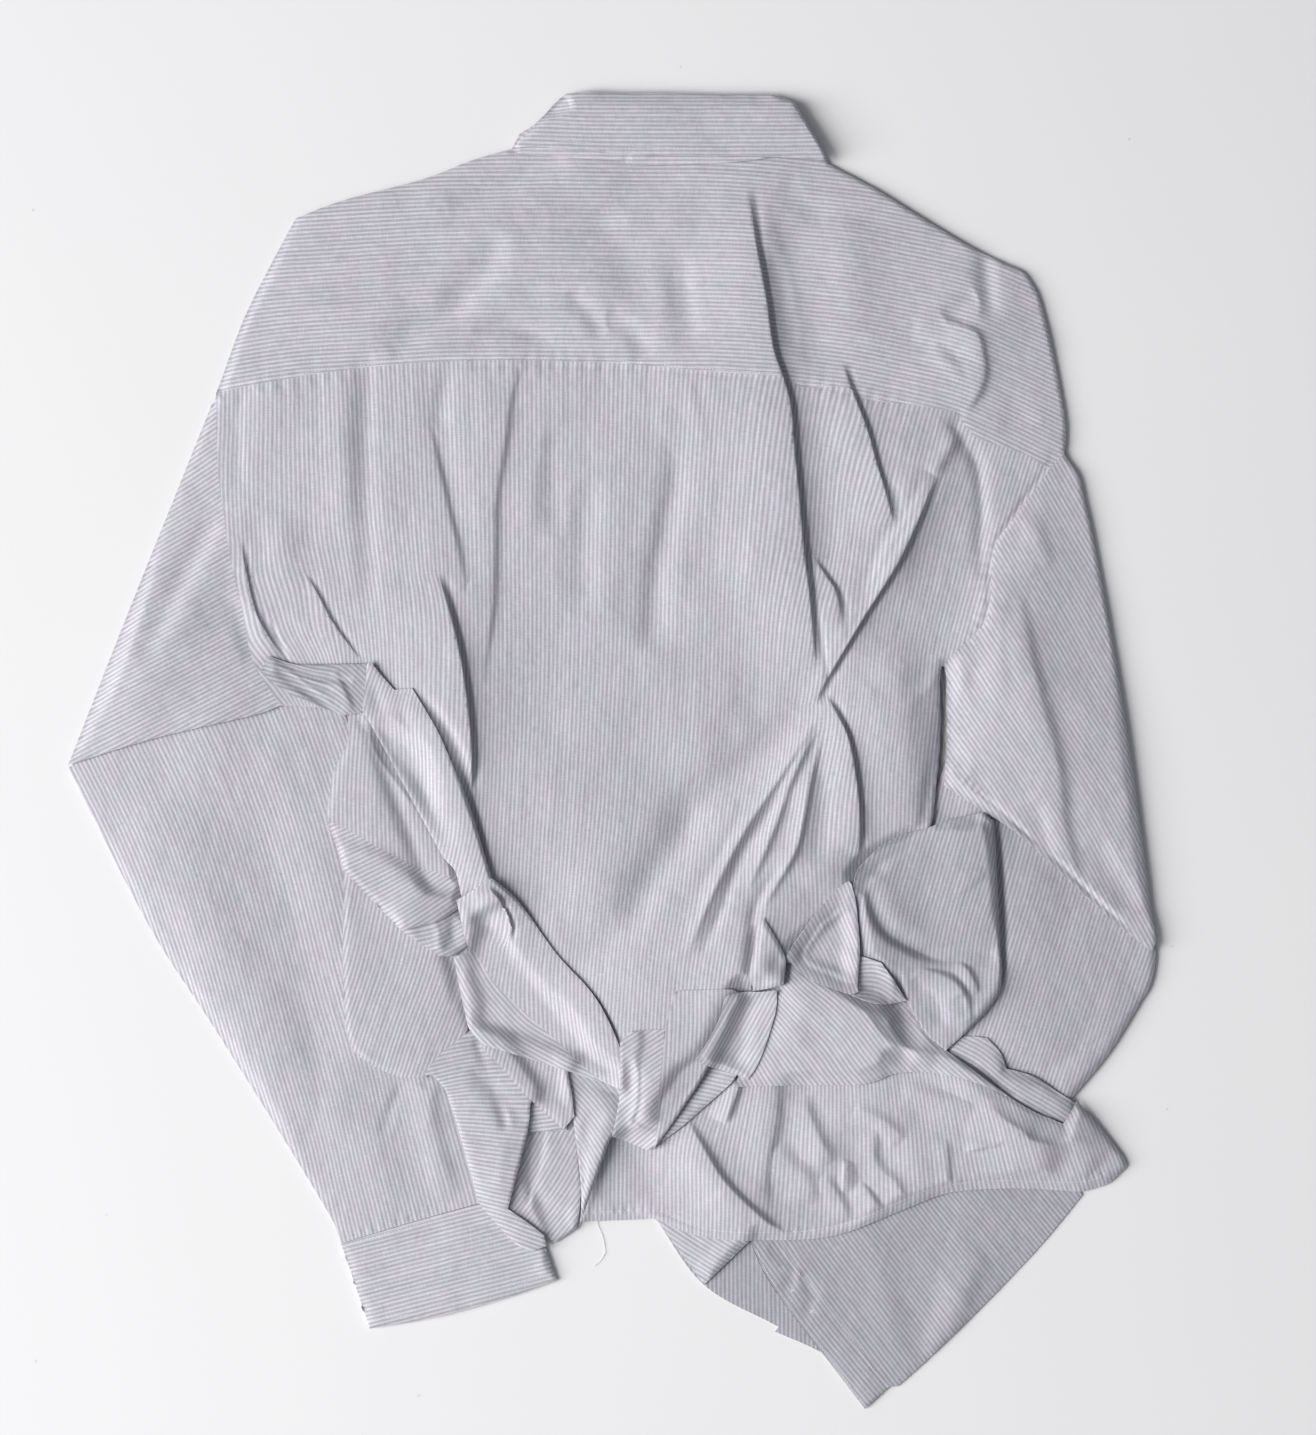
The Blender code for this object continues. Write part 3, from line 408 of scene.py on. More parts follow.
def even_out(ends, wanted, guess):
    """The value at each point that best gives the wanted change along each pair of ends."""
    def gathered(change):
        return (np.bincount(ends[:, 1], change, len(guess))
                - np.bincount(ends[:, 0], change, len(guess)))

    def pull(values):
        return gathered(values[ends[:, 1]] - values[ends[:, 0]])

    left = gathered(wanted) - pull(guess)
    heading, size = left.copy(), left @ left
    for _ in range(400):
        if size < 1e-6:
            break
        pulled = pull(heading)
        step = size / (heading @ pulled)
        guess, left = guess + step * heading, left - step * pulled
        size, last = left @ left, size
        heading = left + size / last * heading
    return guess


def on_the_flat(spots, heights, ends, stripes):
    """Where each point is on the flat cloth, across its stripes and along them, in millimetres.

    stripes is a list of (x, y, angle of the stripes there). Cloth that climbs a crease is longer than
    it looks from above, so its stripes close up there.
    """
    guides = np.array(stripes, dtype=float)
    middle = spots[ends].mean(axis=1)
    gap = np.linalg.norm(middle[:, None] - guides[None, :, :2], axis=2)
    weight = 1 / (gap ** 2 + 60) ** 1.5
    angle = np.radians(guides[:, 2])
    along = np.stack([weight @ np.cos(angle), weight @ np.sin(angle)], axis=1)
    along /= np.linalg.norm(along, axis=1)[:, None]
    run = spots[ends[:, 1]] - spots[ends[:, 0]]
    flat = np.linalg.norm(run, axis=1)
    run = run * (np.hypot(flat, heights[ends[:, 1]] - heights[ends[:, 0]]) / flat)[:, None]
    mean = along.mean(axis=0) / np.linalg.norm(along.mean(axis=0))
    return (even_out(ends, run[:, 0] * along[:, 1] - run[:, 1] * along[:, 0],
                     spots[:, 0] * mean[1] - spots[:, 1] * mean[0]),
            even_out(ends, np.sum(run * along, axis=1), spots @ mean))


def cut(name, step, stripes, cloth, wall=ONE_LAYER):
    """The cloth of a laid piece, as a thin sheet whose map is its place on the flat cloth.

    Its triangles are about step wide at the border and where the cloth bends, and twice that
    where it is nearly flat.
    """
    flat_enough = 0.12
    loop, xs, ys, height = laid[name]
    border = loop if step > 1.8 else through(loop, step, closed=True)
    fine = 0.5 * step
    column_marks = np.arange(xs[0] + 2, xs[-1] - 2, fine)
    row_marks = np.arange(ys[0] + 2, ys[-1] - 2, fine)
    gx, gy = np.meshgrid(column_marks, row_marks)
    bend = sum(np.abs(np.roll(height, 1, k) + np.roll(height, -1, k) - 2 * height) for k in (0, 1))
    bend = spread(spread(bend, 1, 0), 1, 1)
    bent = bend[((gy - ys[0]) / CELL).round().astype(int), ((gx - xs[0]) / CELL).round().astype(int)]
    coarse = np.zeros(gx.shape, dtype=bool)
    coarse[::4, ::2] = coarse[2::4, 1::2] = True
    closed = list(zip(border, np.roll(border, -1, axis=0)))
    keep = inside(border, column_marks, row_marks) & (coarse | (bent > flat_enough))
    keep &= distance(closed, column_marks, row_marks, 2 * step) > 0.45 * step
    points = np.concatenate([border, np.stack([gx[keep], gy[keep]], axis=1)])
    rim = [(k, (k + 1) % len(border)) for k in range(len(border))]
    outcome = delaunay_2d_cdt([Vector(p) for p in points], rim, [], 0, 1e-4, False)
    spots = np.array([tuple(v) for v in outcome[0]])
    faces = np.array([f for f in outcome[2] if len(f) == 3])
    faces = faces[covers(border, spots[faces].mean(axis=1))]
    used = np.unique(faces)
    renumber = np.zeros(len(spots), dtype=int)
    renumber[used] = np.arange(len(used))
    spots, faces = spots[used], renumber[faces]
    first, second = spots[faces[:, 1]] - spots[faces[:, 0]], spots[faces[:, 2]] - spots[faces[:, 0]]
    turned = first[:, 0] * second[:, 1] - first[:, 1] * second[:, 0] < 0
    faces[turned] = faces[turned][:, ::-1]
    heights = height_at(name, spots)
    ends = np.sort(np.concatenate([faces[:, [0, 1]], faces[:, [1, 2]], faces[:, [2, 0]]]), axis=1)
    ends = np.unique(ends, axis=0)
    across, along = on_the_flat(spots, heights, ends, stripes)
    mesh = bpy.data.meshes.new(name + "_cloth")
    east = spots[:, 0] + height_at(name, spots, drifts[name])
    mesh.from_pydata((np.column_stack([east, spots[:, 1], heights]) * MM).tolist(), [], faces.tolist())
    layer = mesh.uv_layers.new(name="flat_cloth")
    layer.data.foreach_set("uv", np.stack([across, along], axis=1)[faces.ravel()].ravel())
    mesh.polygons.foreach_set("use_smooth", [True] * len(mesh.polygons))
    sides = np.zeros(len(mesh.loops), dtype=int)
    mesh.loops.foreach_get("edge_index", sides)
    mesh.edges.foreach_set("use_edge_sharp", np.bincount(sides, minlength=len(mesh.edges)) == 1)
    mesh.materials.append(cloth)
    piece = bpy.data.objects.new(name + "_cloth", mesh)
    bpy.context.scene.collection.objects.link(piece)
    shell = piece.modifiers.new("thickness", "SOLIDIFY")
    shell.thickness, shell.offset = wall * MM, -1.0
    return piece


def woven(tree, flat, stretch, size=1.0, detail=2.0):
    """Unevenness that follows the yarns: stretch is its scale across the stripes and along them."""
    place = add(tree, "Mapping", {"Vector": flat, "Scale": (*stretch, 1.0)}).outputs["Vector"]
    return add(tree, "TexNoise", {"Vector": place, "Scale": size, "Detail": detail}).outputs["Fac"]


def shirting(name, light, dark, painted_shade=0.0):
    """Striped cotton shirting: white yarns beside grey-blue ones, a stripe every 2.6 mm, matt.

    The stripes wander a little, as woven ones do, single yarns and picks are thicker than others,
    and handling has left the cloth slightly cockled. The weave itself is drawn coarser than the
    real one, which is too fine to show.
    """
    stripe_pitch = 2.6
    material, tree, shader, place = start_material(name)
    flat = add(tree, "UVMap", uv_map="flat_cloth").outputs["UV"]
    wander = add(tree, "TexNoise", {"Vector": place, "Scale": 55.0, "Detail": 1.0}).outputs["Fac"]
    turn = (2 * math.pi / stripe_pitch, 0, 0)
    turn = add(tree, "Mapping", {"Vector": flat, "Scale": turn}).outputs["Vector"]
    angle = add(tree, "SeparateXYZ", {"Vector": turn}).outputs["X"]
    angle = add(tree, "Math", {0: wander, 1: 0.9, 2: angle}, operation="MULTIPLY_ADD").outputs["Value"]
    wave = add(tree, "Math", {0: angle}, operation="COSINE").outputs["Value"]
    stripe = add(tree, "MapRange", {"Value": wave, "From Min": -0.75, "From Max": 0.95},
                 interpolation_type="SMOOTHSTEP").outputs["Result"]
    slubs = woven(tree, flat, (1.3, 0.11), detail=3.0)
    yarns = woven(tree, flat, (0.42, 0.012), detail=1.0)
    picks = woven(tree, flat, (0.16, 1.9))
    stripes = add(tree, "Mix", {"Factor": stripe, "A": linear(dark), "B": linear(light)},
                  data_type="RGBA")
    tints = add(tree, "TexNoise", {"Vector": place, "Scale": 70.0, "Detail": 1.0}).outputs["Fac"]
    tint = add(tree, "Mix", {"Factor": tints, "A": linear("#fff6fc"), "B": linear("#f3fbf8")},
               data_type="RGBA")
    tinted = add(tree, "Mix", {"Factor": 1.0, "A": stripes.outputs["Result"],
                               "B": tint.outputs["Result"]},
                 data_type="RGBA", blend_type="MULTIPLY")
    heather = add(tree, "Math", {0: slubs, 1: picks}, operation="ADD").outputs["Value"]
    heather = add(tree, "Math", {0: yarns, 1: 0.7, 2: heather}, operation="MULTIPLY_ADD").outputs["Value"]
    # the tone range can be lowered as a whole: painted shade, for the darker copy of the cloth
    shade = add(tree, "MapRange", {"Value": heather, "From Min": 0.95, "From Max": 1.75,
                                   "To Min": 0.83 - painted_shade, "To Max": 1.15 - painted_shade}).outputs["Result"]
    colour = add(tree, "VectorMath", {0: tinted.outputs["Result"], "Scale": shade}, operation="SCALE")
    tree.links.new(colour.outputs["Vector"], shader.inputs["Base Color"])
    weave = woven(tree, flat, (9.0, 9.0), size=0.35)
    cockle = add(tree, "TexNoise", {"Vector": place, "Scale": 110.0, "Detail": 2.0}).outputs["Fac"]
    cockle = add(tree, "Bump", {"Height": cockle, "Strength": 0.5, "Distance": 0.0011}).outputs["Normal"]
    bump = add(tree, "Bump", {"Height": weave, "Strength": 0.25, "Distance": 0.00012, "Normal": cockle})
    tree.links.new(bump.outputs["Normal"], shader.inputs["Normal"])
    shader.inputs["Roughness"].default_value = 0.88
    shader.inputs["Sheen Weight"].default_value = 0.12
    shader.inputs["Specular IOR Level"].default_value = 0.25
    return material


def declare(piece, node):
    """Put the cloth under the root body and hide the CAD node that it stands for.
    """
    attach(piece, "root")
    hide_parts(node)


def inset(name, start, end, away):
    """The stretch of a laid piece's outline from start to end, moved in from the edge by away."""
    loop = laid[name][0]
    a, b = [int(np.argmin(np.hypot(*(loop - spot).T))) for spot in (start, end)]
    if (b - a) % len(loop) > len(loop) / 2:
        a, b = b, a
    line = np.roll(loop, -a, axis=0)[:(b - a) % len(loop) + 1]
    run = np.gradient(line, axis=0)
    side = np.stack([-run[:, 1], run[:, 0]], axis=1) / np.linalg.norm(run, axis=1)[:, None]
    middle = slice(len(line) // 2, len(line) // 2 + 1)
    return line + side * (away if covers(loop, line[middle] + 0.5 * side[middle])[0] else -away)


def sew(name, on, paths, long=1.8, pitch=2.6):
    """Rows of machine stitches on a laid piece: each stitch is a small pad of thread, sunk at its foot.

    The pad's foot and its top are given as half the length, as a share of long, half the width, and
    the height over the cloth.
    """
    foot, top = (0.5, 0.24, -0.14), (0.34, 0.14, 0.16)
    points, faces = [], []
    for path in paths:
        line = through(path, pitch, corner=9.0)
        for spot, run in zip(0.5 * (line[1:] + line[:-1]), np.diff(line, axis=0)):
            run = run / np.linalg.norm(run)
            side = np.array([-run[1], run[0]])
            corners = [(u, v) for u, v in ((-1, -1), (1, -1), (1, 1), (-1, 1))]
            for part, width, up in (foot, top):
                ring = np.array([spot + u * part * long * run + v * width * side for u, v in corners])
                points += np.column_stack([ring, height_at(on, ring) + up]).tolist()
            k = len(points) - 8
            faces += [(k + 3, k + 2, k + 1, k), (k + 4, k + 5, k + 6, k + 7)]
            faces += [(k + j, k + (j + 1) % 4, k + 4 + (j + 1) % 4, k + 4 + j) for j in range(4)]
    mesh = bpy.data.meshes.new(name)
    mesh.from_pydata((np.array(points) * MM).tolist(), [], faces)
    mesh.materials.append(cotton_thread)
    stitches = bpy.data.objects.new(name, mesh)
    bpy.context.scene.collection.objects.link(stitches)
    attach(stitches, "root")


# sewing thread: soft twisted cotton, whiter than the cloth, with the shadow of its twist
cotton_thread, tree, shader, place = start_material("cotton_thread")
twist = add(tree, "TexNoise", {"Vector": place, "Scale": 1400.0, "Detail": 1.0}).outputs["Fac"]
thread = add(tree, "Mix", {"Factor": twist, "A": linear("#cfced6"), "B": linear("#efeef3")},
             data_type="RGBA")
tree.links.new(thread.outputs["Result"], shader.inputs["Base Color"])
shader.inputs["Roughness"].default_value = 0.7
# The cloth's inside face: darker stripes and a lower tone. The darkening is painted shade for the pieces
# cut from it, which lie low, tucked under or tilted away from the light.
inside_face_painted_shade = shirting("shirting_inside", "#c6c6cd", "#a7a7b2", painted_shade=0.02)
lay(["front_left"], even=6, roll=3)
front_left = cut("front_left", 5.0, [(0, 100, 90), (-40, -240, 92), (0, -284, 90)], inside_face_painted_shade)
declare(front_left, "front_left")
lay(["placket_right", "front_right"], even=6, roll=2, uneven=0.5, creases=[
    Crease([(209, -270), (190, -330), (187, -376)], 14, -2.6, 0.2),
    Crease([(228, -310), (212, -350), (194, -376)], 10, 2.4, 0.3),
    Crease([(150, -290), (172, -330), (182, -384)], 16, 2.0, 0.3),
    Crease([(170, -250), (215, -268), (262, -280)], 12, 1.4, 0.3),
    Crease([(98, -305), (112, -322), (106, -336)], 4, -1.6),
    Crease([(116, -322), (124, -338), (118, -352)], 4, -1.4),
    Crease([(106, -318), (118, -326)], 3, 1.0)],
    seams=[([(172, -396), (202, -372), (240, -330), (290, -277)], 0.35, 7.0, 5.0),
           ([(101, -309), (128, -350), (156, -391)], 0.25, 9.0, 4.0)])
placket = cut("placket_right", 2.4, [(55, 200, -90), (56, -100, -90), (75, -250, -72), (110, -325, -54),
                                     (150, -385, -50)], inside_face_painted_shade)
declare(placket, "placket_right")
front_right = cut("front_right", 3.2, [(150, 200, -90), (120, -100, -88), (110, -260, -60),
                                       (160, -330, -53), (230, -290, -50)], inside_face_painted_shade)
declare(front_right, "front_right")
placket_rows = [inset("placket_right", (118, -304), (186, -370), 1.6),
                inset("placket_right", (96, -306), (150, -392), 1.6)]
sew("placket_stitches", "placket_right", placket_rows)
buttons = (112.3, -334.2), (124, -347.2)
crosses = [[(x - 2, y + 1.6 * k), (x + 2, y - 1.6 * k)] for x, y in buttons for k in (-1, 1)]
sew("button_stitches", "placket_right", crosses, long=3.6, pitch=5.0)

# The sleeves' under layers: the half of each sleeve that lies on the surface, joined to its upper half
# along the folds. Only slivers of them show.
for name, stripes, flat, area in (
        ("sleeve_left_under", [(-280, -20, -60), (-180, -100, -72)], (509, 182), 587),
        ("sleeve_right_under", [(280, 60, -62), (270, -150, 74)], (254, 209), 371)):
    lay([name], even=6, roll=3)
    under_layer = cut(name, 5.0, stripes, inside_face_painted_shade)
    declare(under_layer, name)

# The left cuff: two layers of shirting with an interlining, pressed flat and topstitched round its
# edge, and sewn to the end of the sleeve.
shirting_fused = shirting("shirting_fused", "#dad9df", "#babac3")
lay(["cuff_left"], wall=INTERLINED, even=6, roll=1.6, uneven=0.3, creases=[
    Crease([(-165, -307), (-128, -296), (-81, -283), (-52, -278)], 2.0, 0.7),
    Crease([(-36, -298), (-40, -326)], 8, 2.0), Crease([(-90, -290), (-110, -345)], 14, 0.8, 0.3)])
cuff_left = cut("cuff_left", 2.0, [(-110, -320, 15), (-60, -300, 14)], shirting_fused, wall=INTERLINED)
declare(cuff_left, "cuff_left")
sew("cuff_stitches", "cuff_left", [inset("cuff_left", (-52, -275), (-168, -305), 1.8),
                                   inset("cuff_left", (-150, -358), (-34, -328), 5.0)])

# The forearms of the sleeves, folded under at the elbow: one layer of shirting over the under layer,
# the left one gathered a little into its cuff.
striped_shirting = shirting("striped_shirting", "#d8d7dd", "#b7b6c0")
lay(["sleeve_left_forearm"], even=12, roll=3, uneven=0.5, joined=["cuff_left"], creases=[
    Crease([(-300, -30), (-250, -120), (-190, -240)], 26, 2.2, -0.3),
    Crease([(-235, 0), (-190, -110), (-150, -250)], 22, -1.4, 0.2),
    Crease([(-175, -110), (-160, -200), (-140, -280)], 20, 1.8, 0.3),
    Crease([(-112, -190), (-112, -230), (-98, -278)], 9, 1.8, 0.4),
    Crease([(-128, -205), (-138, -220), (-142, -240)], 4, -1.2),
    Crease([(-104, -196), (-118, -208)], 4, -1.0),
    Crease([(-134, -208), (-140, -222), (-144, -262)], 5, 1.2, 0.4)],
    seams=[([(-168, -303), (-128, -291), (-81, -278), (-52, -273)], 0.45, 6.5, 5.0)])
forearm = cut("sleeve_left_forearm", 2.4, [(-310, -30, -62), (-250, -110, -68), (-180, -100, -80),
                                           (-205, -225, -66), (-150, -220, -84), (-95, -220, -72)],
              striped_shirting)
declare(forearm, "sleeve_left_forearm")
lay(["sleeve_right_forearm"], even=12, roll=4, uneven=0.4, creases=[
    Crease([(296, -84), (262, -120), (240, -150)], 14, 1.4, -0.3),
    Crease([(216, -40), (222, -120), (226, -200)], 62, 6.5),
    Crease([(237, -44), (240, -90), (241, -130), (238, -146)], 3.0, -5.0),
    Crease([(312, -130), (296, -180), (270, -220)], 14, 1.6, -0.3)])
forearm = cut("sleeve_right_forearm", 2.4, [(240, -60, 76), (300, -120, 70), (260, -200, 72)],
              striped_shirting)
declare(forearm, "sleeve_right_forearm")
lay(["cuff_right"], wall=INTERLINED, even=8, roll=2)
cuff_right = cut("cuff_right", 3.0, [(180, -230, 20)], inside_face_painted_shade, wall=INTERLINED)
declare(cuff_right, "cuff_right")

# The turned corner of the left front, the layers bunched under the knot, and the roll of the skirt at
# the right: folded shirting. The bunched layers are hidden and made as one rounded heap.
lay(["front_left_fold"], even=6, roll=2, creases=[
    Crease([(88, -300), (74, -312), (60, -328)], 8, 3.4, 0.6)])
corner = cut("front_left_fold", 1.8, [(40, -300, -34), (70, -310, -30)], striped_shirting)
declare(corner, "front_left_fold")
lay(["inner_layers"], even=8, roll=10)
bundle = cut("inner_layers", 4.5, [(80, -150, 90)], striped_shirting)
declare(bundle, "inner_layers")
lay(["skirt_roll"], even=6, roll=4, creases=[
    Crease([(216, -180), (232, -184), (240, -196), (262, -206), (292, -234)], 9, 1.6, 0.4),
    Crease([(212, -190), (228, -200), (250, -216)], 4, -1.6)])
roll = cut("skirt_roll", 1.6, [(222, -182, -24), (236, -192, -44), (262, -212, -30), (305, -245, -50)],
           striped_shirting)
declare(roll, "skirt_roll")

# The skirt of the back's right half, spread below the knot: one layer, its hem turned up 9 mm and
# stitched, full of the small creases that the knot left in it. A loose thread hangs from the hem.
skirt_hem = [(-20, -286), (27, -284.5), (43, -290.5), (58, -295.6), (83, -297.4), (109, -297.6),
             (124.5, -296.6), (149, -291), (175.5, -280), (200, -270.2), (234, -265.8), (277, -266.8),
             (297, -265.6), (306, -261)]
lay(["skirt_lower"], even=9, roll=2.4, uneven=0.8, edges=[
    ("skirt_lower", [(270, -226.5), (279, -230.5), (283.5, -224), (288, -216.5), (296, -225.5),
                     (304, -235), (311, -243.8), (317.5, -252.5), (319.5, -257), (317.8, -259)])],
    creases=[
    Crease([(46, -228), (58, -248), (68, -264), (80, -277), (94, -290), (112, -306)], 13, 4.0, 0.8),
    Crease([(101, -195), (101, -225), (97, -245), (94, -264), (95, -284)], 10, 2.2, 0.6),
    Crease([(80, -203), (76, -214), (70, -230)], 6, 3.4, 0.7),
    Crease([(118, -212), (122, -226), (128, -240), (136, -254)], 8, 2.4, 0.5),
    Crease([(101, -243), (110, -256), (120, -264), (123, -280)], 11, 2.2, 0.5),
    Crease([(164, -230), (161, -248), (166, -260), (174, -266), (182, -281)], 8, 2.4, 0.5),
    Crease([(150, -221), (166, -228), (180, -240)], 7, 2.0, 0.4),
    Crease([(145, -252), (143, -273)], 5, 1.8, -0.5),
    Crease([(153, -266), (163, -280), (168, -293)], 6, 2.2, 0.5),
    Crease([(130, -262), (140, -276), (146, -290)], 6, 1.6, 0.4),
    Crease([(218, -247), (231, -244), (240, -242), (244, -231)], 4, 2.2, -0.6),
    Crease([(206, -240), (208, -273)], 5, 1.4, 0.5), Crease([(282, -240), (275, -270)], 9, -2.2),
    Crease([(244, -246), (252, -262), (248, -274)], 5, 1.2, 0.4),
    Crease([(180, -208), (200, -214), (226, -222)], 8, 1.8, 0.4),
    Crease([(225, -212), (262, -238), (298, -258)], 20, 3.0),
    Crease([(204, -195), (240, -213), (268, -228)], 8, 3.0, 0.3),
    Crease([(270, -232), (296, -262)], 16, 2.0),
    Crease([(-20, -245), (30, -252)], 12, -1.5), Crease(skirt_hem, 1.3, -0.6, 0, 0.2)],
    seams=[(skirt_hem, 0.28, 5.0, 4.0)])
skirt = cut("skirt_lower", 2.0, [(0, -260, 90), (40, -270, 92), (60, -225, 66), (76, -240, 74),
                                 (110, -250, 90), (170, -240, 90), (205, -215, 104), (230, -240, 102),
                                 (280, -250, 110), (262, -215, 118), (120, -205, 90)],
            striped_shirting)
declare(skirt, "skirt_lower")
sew("hem_stitches", "skirt_lower", [skirt_hem])
curl = through([(-7, -286), (-9, -293), (-5.5, -302), (-4, -311), (-7, -316), (-11, -319.5)], 1.2)
thread_radius, off_board = 0.15, 0.5
climb = np.append(np.linspace(4.0, off_board, 6), np.full(len(curl) - 6, off_board))
turns = np.radians(np.arange(0, 360, 72))
aside, upward = thread_radius * np.cos(turns), thread_radius * np.sin(turns)
heading = np.gradient(curl, axis=0)
heading /= np.linalg.norm(heading, axis=1)[:, None]
rings = [np.column_stack([spot[0] - run[1] * aside, spot[1] + run[0] * aside, up + upward])
         for spot, run, up in zip(curl, heading, climb)]
mesh = bpy.data.meshes.new("loose_thread")
mesh.from_pydata((np.concatenate(rings) * MM).tolist(), [],
                 [(k + j, k + j + 5, k + (j + 1) % 5 + 5, k + (j + 1) % 5)
                  for k in range(0, 5 * len(rings) - 5, 5) for j in range(5)])
mesh.materials.append(cotton_thread)
loose_thread = bpy.data.objects.new("loose_thread", mesh)
bpy.context.scene.collection.objects.link(loose_thread)
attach(loose_thread, "root")
lay(["skirt_upper"], even=8, roll=2.4, uneven=0.5, edges=[
    ("skirt_upper", [(107, -124), (122, -131), (140, -138), (159, -146), (182, -153)])], creases=[
    Crease([(146, -148), (156, -160), (166, -174), (186, -192)], 5, 1.8, 0.3, 0.6),
    Crease([(152, -146), (170, -160), (196, -184)], 4, -1.6),
    Crease([(108, -138), (116, -156), (108, -186)], 10, 1.8),
    Crease([(86, -200), (120, -198), (150, -197), (180, -190), (200, -190)], 8, 3.0, -0.3),
    Crease([(186, -152), (196, -172), (214, -186), (236, -200)], 8, 3.0, -0.4)])
skirt = cut("skirt_upper", 1.8, [(89, -193, -62), (123, -174, -50), (136, -193, -58), (162, -187, -52),
                                 (129, -147, -32), (110, -142, -48), (196, -183, -48), (209, -200, -42)],
            striped_shirting)
declare(skirt, "skirt_upper")

# The left flank: the back's left edge, one layer of shirting, pulled up and folded over itself where
# the tail twists away from it.
def lay_folds(folds, even, roll, step, wall=ONE_LAYER):
    """Lay folds of the striped cloth one after the other; each fold is one or more pieces.

    A fold holds its pieces, each with its stripes, flat size and area, then how high its edge stands,
    its crown, its outlines drawn anew and its creases.
    """
    for guides, stands, crown, edges, creases in folds:
        lay(list(guides), wall, even=even, roll=roll, edge=stands, crown=crown, edges=edges,
            creases=creases)
        for name, (stripes, flat, area) in guides.items():
            fold = cut(name, step, stripes, striped_shirting, wall)
            declare(fold, name)


flank_line = [(-176.7, -42.2), (-163, -49), (-149.4, -56.4), (-135.1, -63.9), (-120.9, -71.3),
              (-110.3, -74.4), (-99.2, -77.5), (-90, -79.6)]
lay_folds([
    ({"flank_lower": ([(-140, -100, 80), (-110, -170, 66), (-150, -180, 74)], (86, 150), 91.1)}, 1.6,
     (1.6, 3.0), [],
     [Crease([(-100, -112), (-114, -160), (-132, -200)], 12, 2.6, 0.4),
      Crease([(-152, -90), (-158, -150)], 12, 1.8, -0.3),
      Crease([(-98, -100), (-96, -130), (-94, -158)], 6, -1.8)]),
    ({"flank_tuck": ([(-120, -108, 10), (-98, -110, 34)], (41, 49), 13.7)}, 1.4, (1.6, 2.6), [],
     [Crease([(-108, -100), (-104, -112), (-106, -124)], 2.5, 3.0, 0.3, 0.3),
      Crease([(-120, -104), (-112, -118)], 6, -1.6), Crease([(-98, -100), (-98, -122)], 4, -1.8)]),
    ({"flank_upper": ([(-150, 20, 86), (-120, -60, 92)], (61, 137), 42.9),
      "flank_fold": ([(-150, -65, 24), (-110, -90, 34)], (102, 44), 27.1)},
     1.4, (1.6, 5.0), [("flank_upper", flank_line), ("flank_fold", flank_line)],
     [Crease([(-150, 20), (-146, -40)], 14, 0.6, 0.3),
      Crease([(-140, -102), (-118, -108), (-98, -104)], 7, 0.6, -0.4)])],
    even=7, roll=1.2, step=1.8)

# The yoke, the back and the upper halves of the sleeves: sewn to each other, so they lie as one
# stretch of cloth. The yoke is double; the back hangs in soft pleats that the pull of the knot sharpens.
def overhang(path, wide, high, groove):
    """A pleat that folds over the cloth at its right: it climbs, leans over and drops to a groove."""
    line, over = np.array(path, dtype=float), 0.9 * high
    return [Crease(line - (1 + over, 0.0), wide, high, 1 - 2.2 / wide, 0, over),
            Crease(line + (0.6, 0.0), 1.7, -groove)]


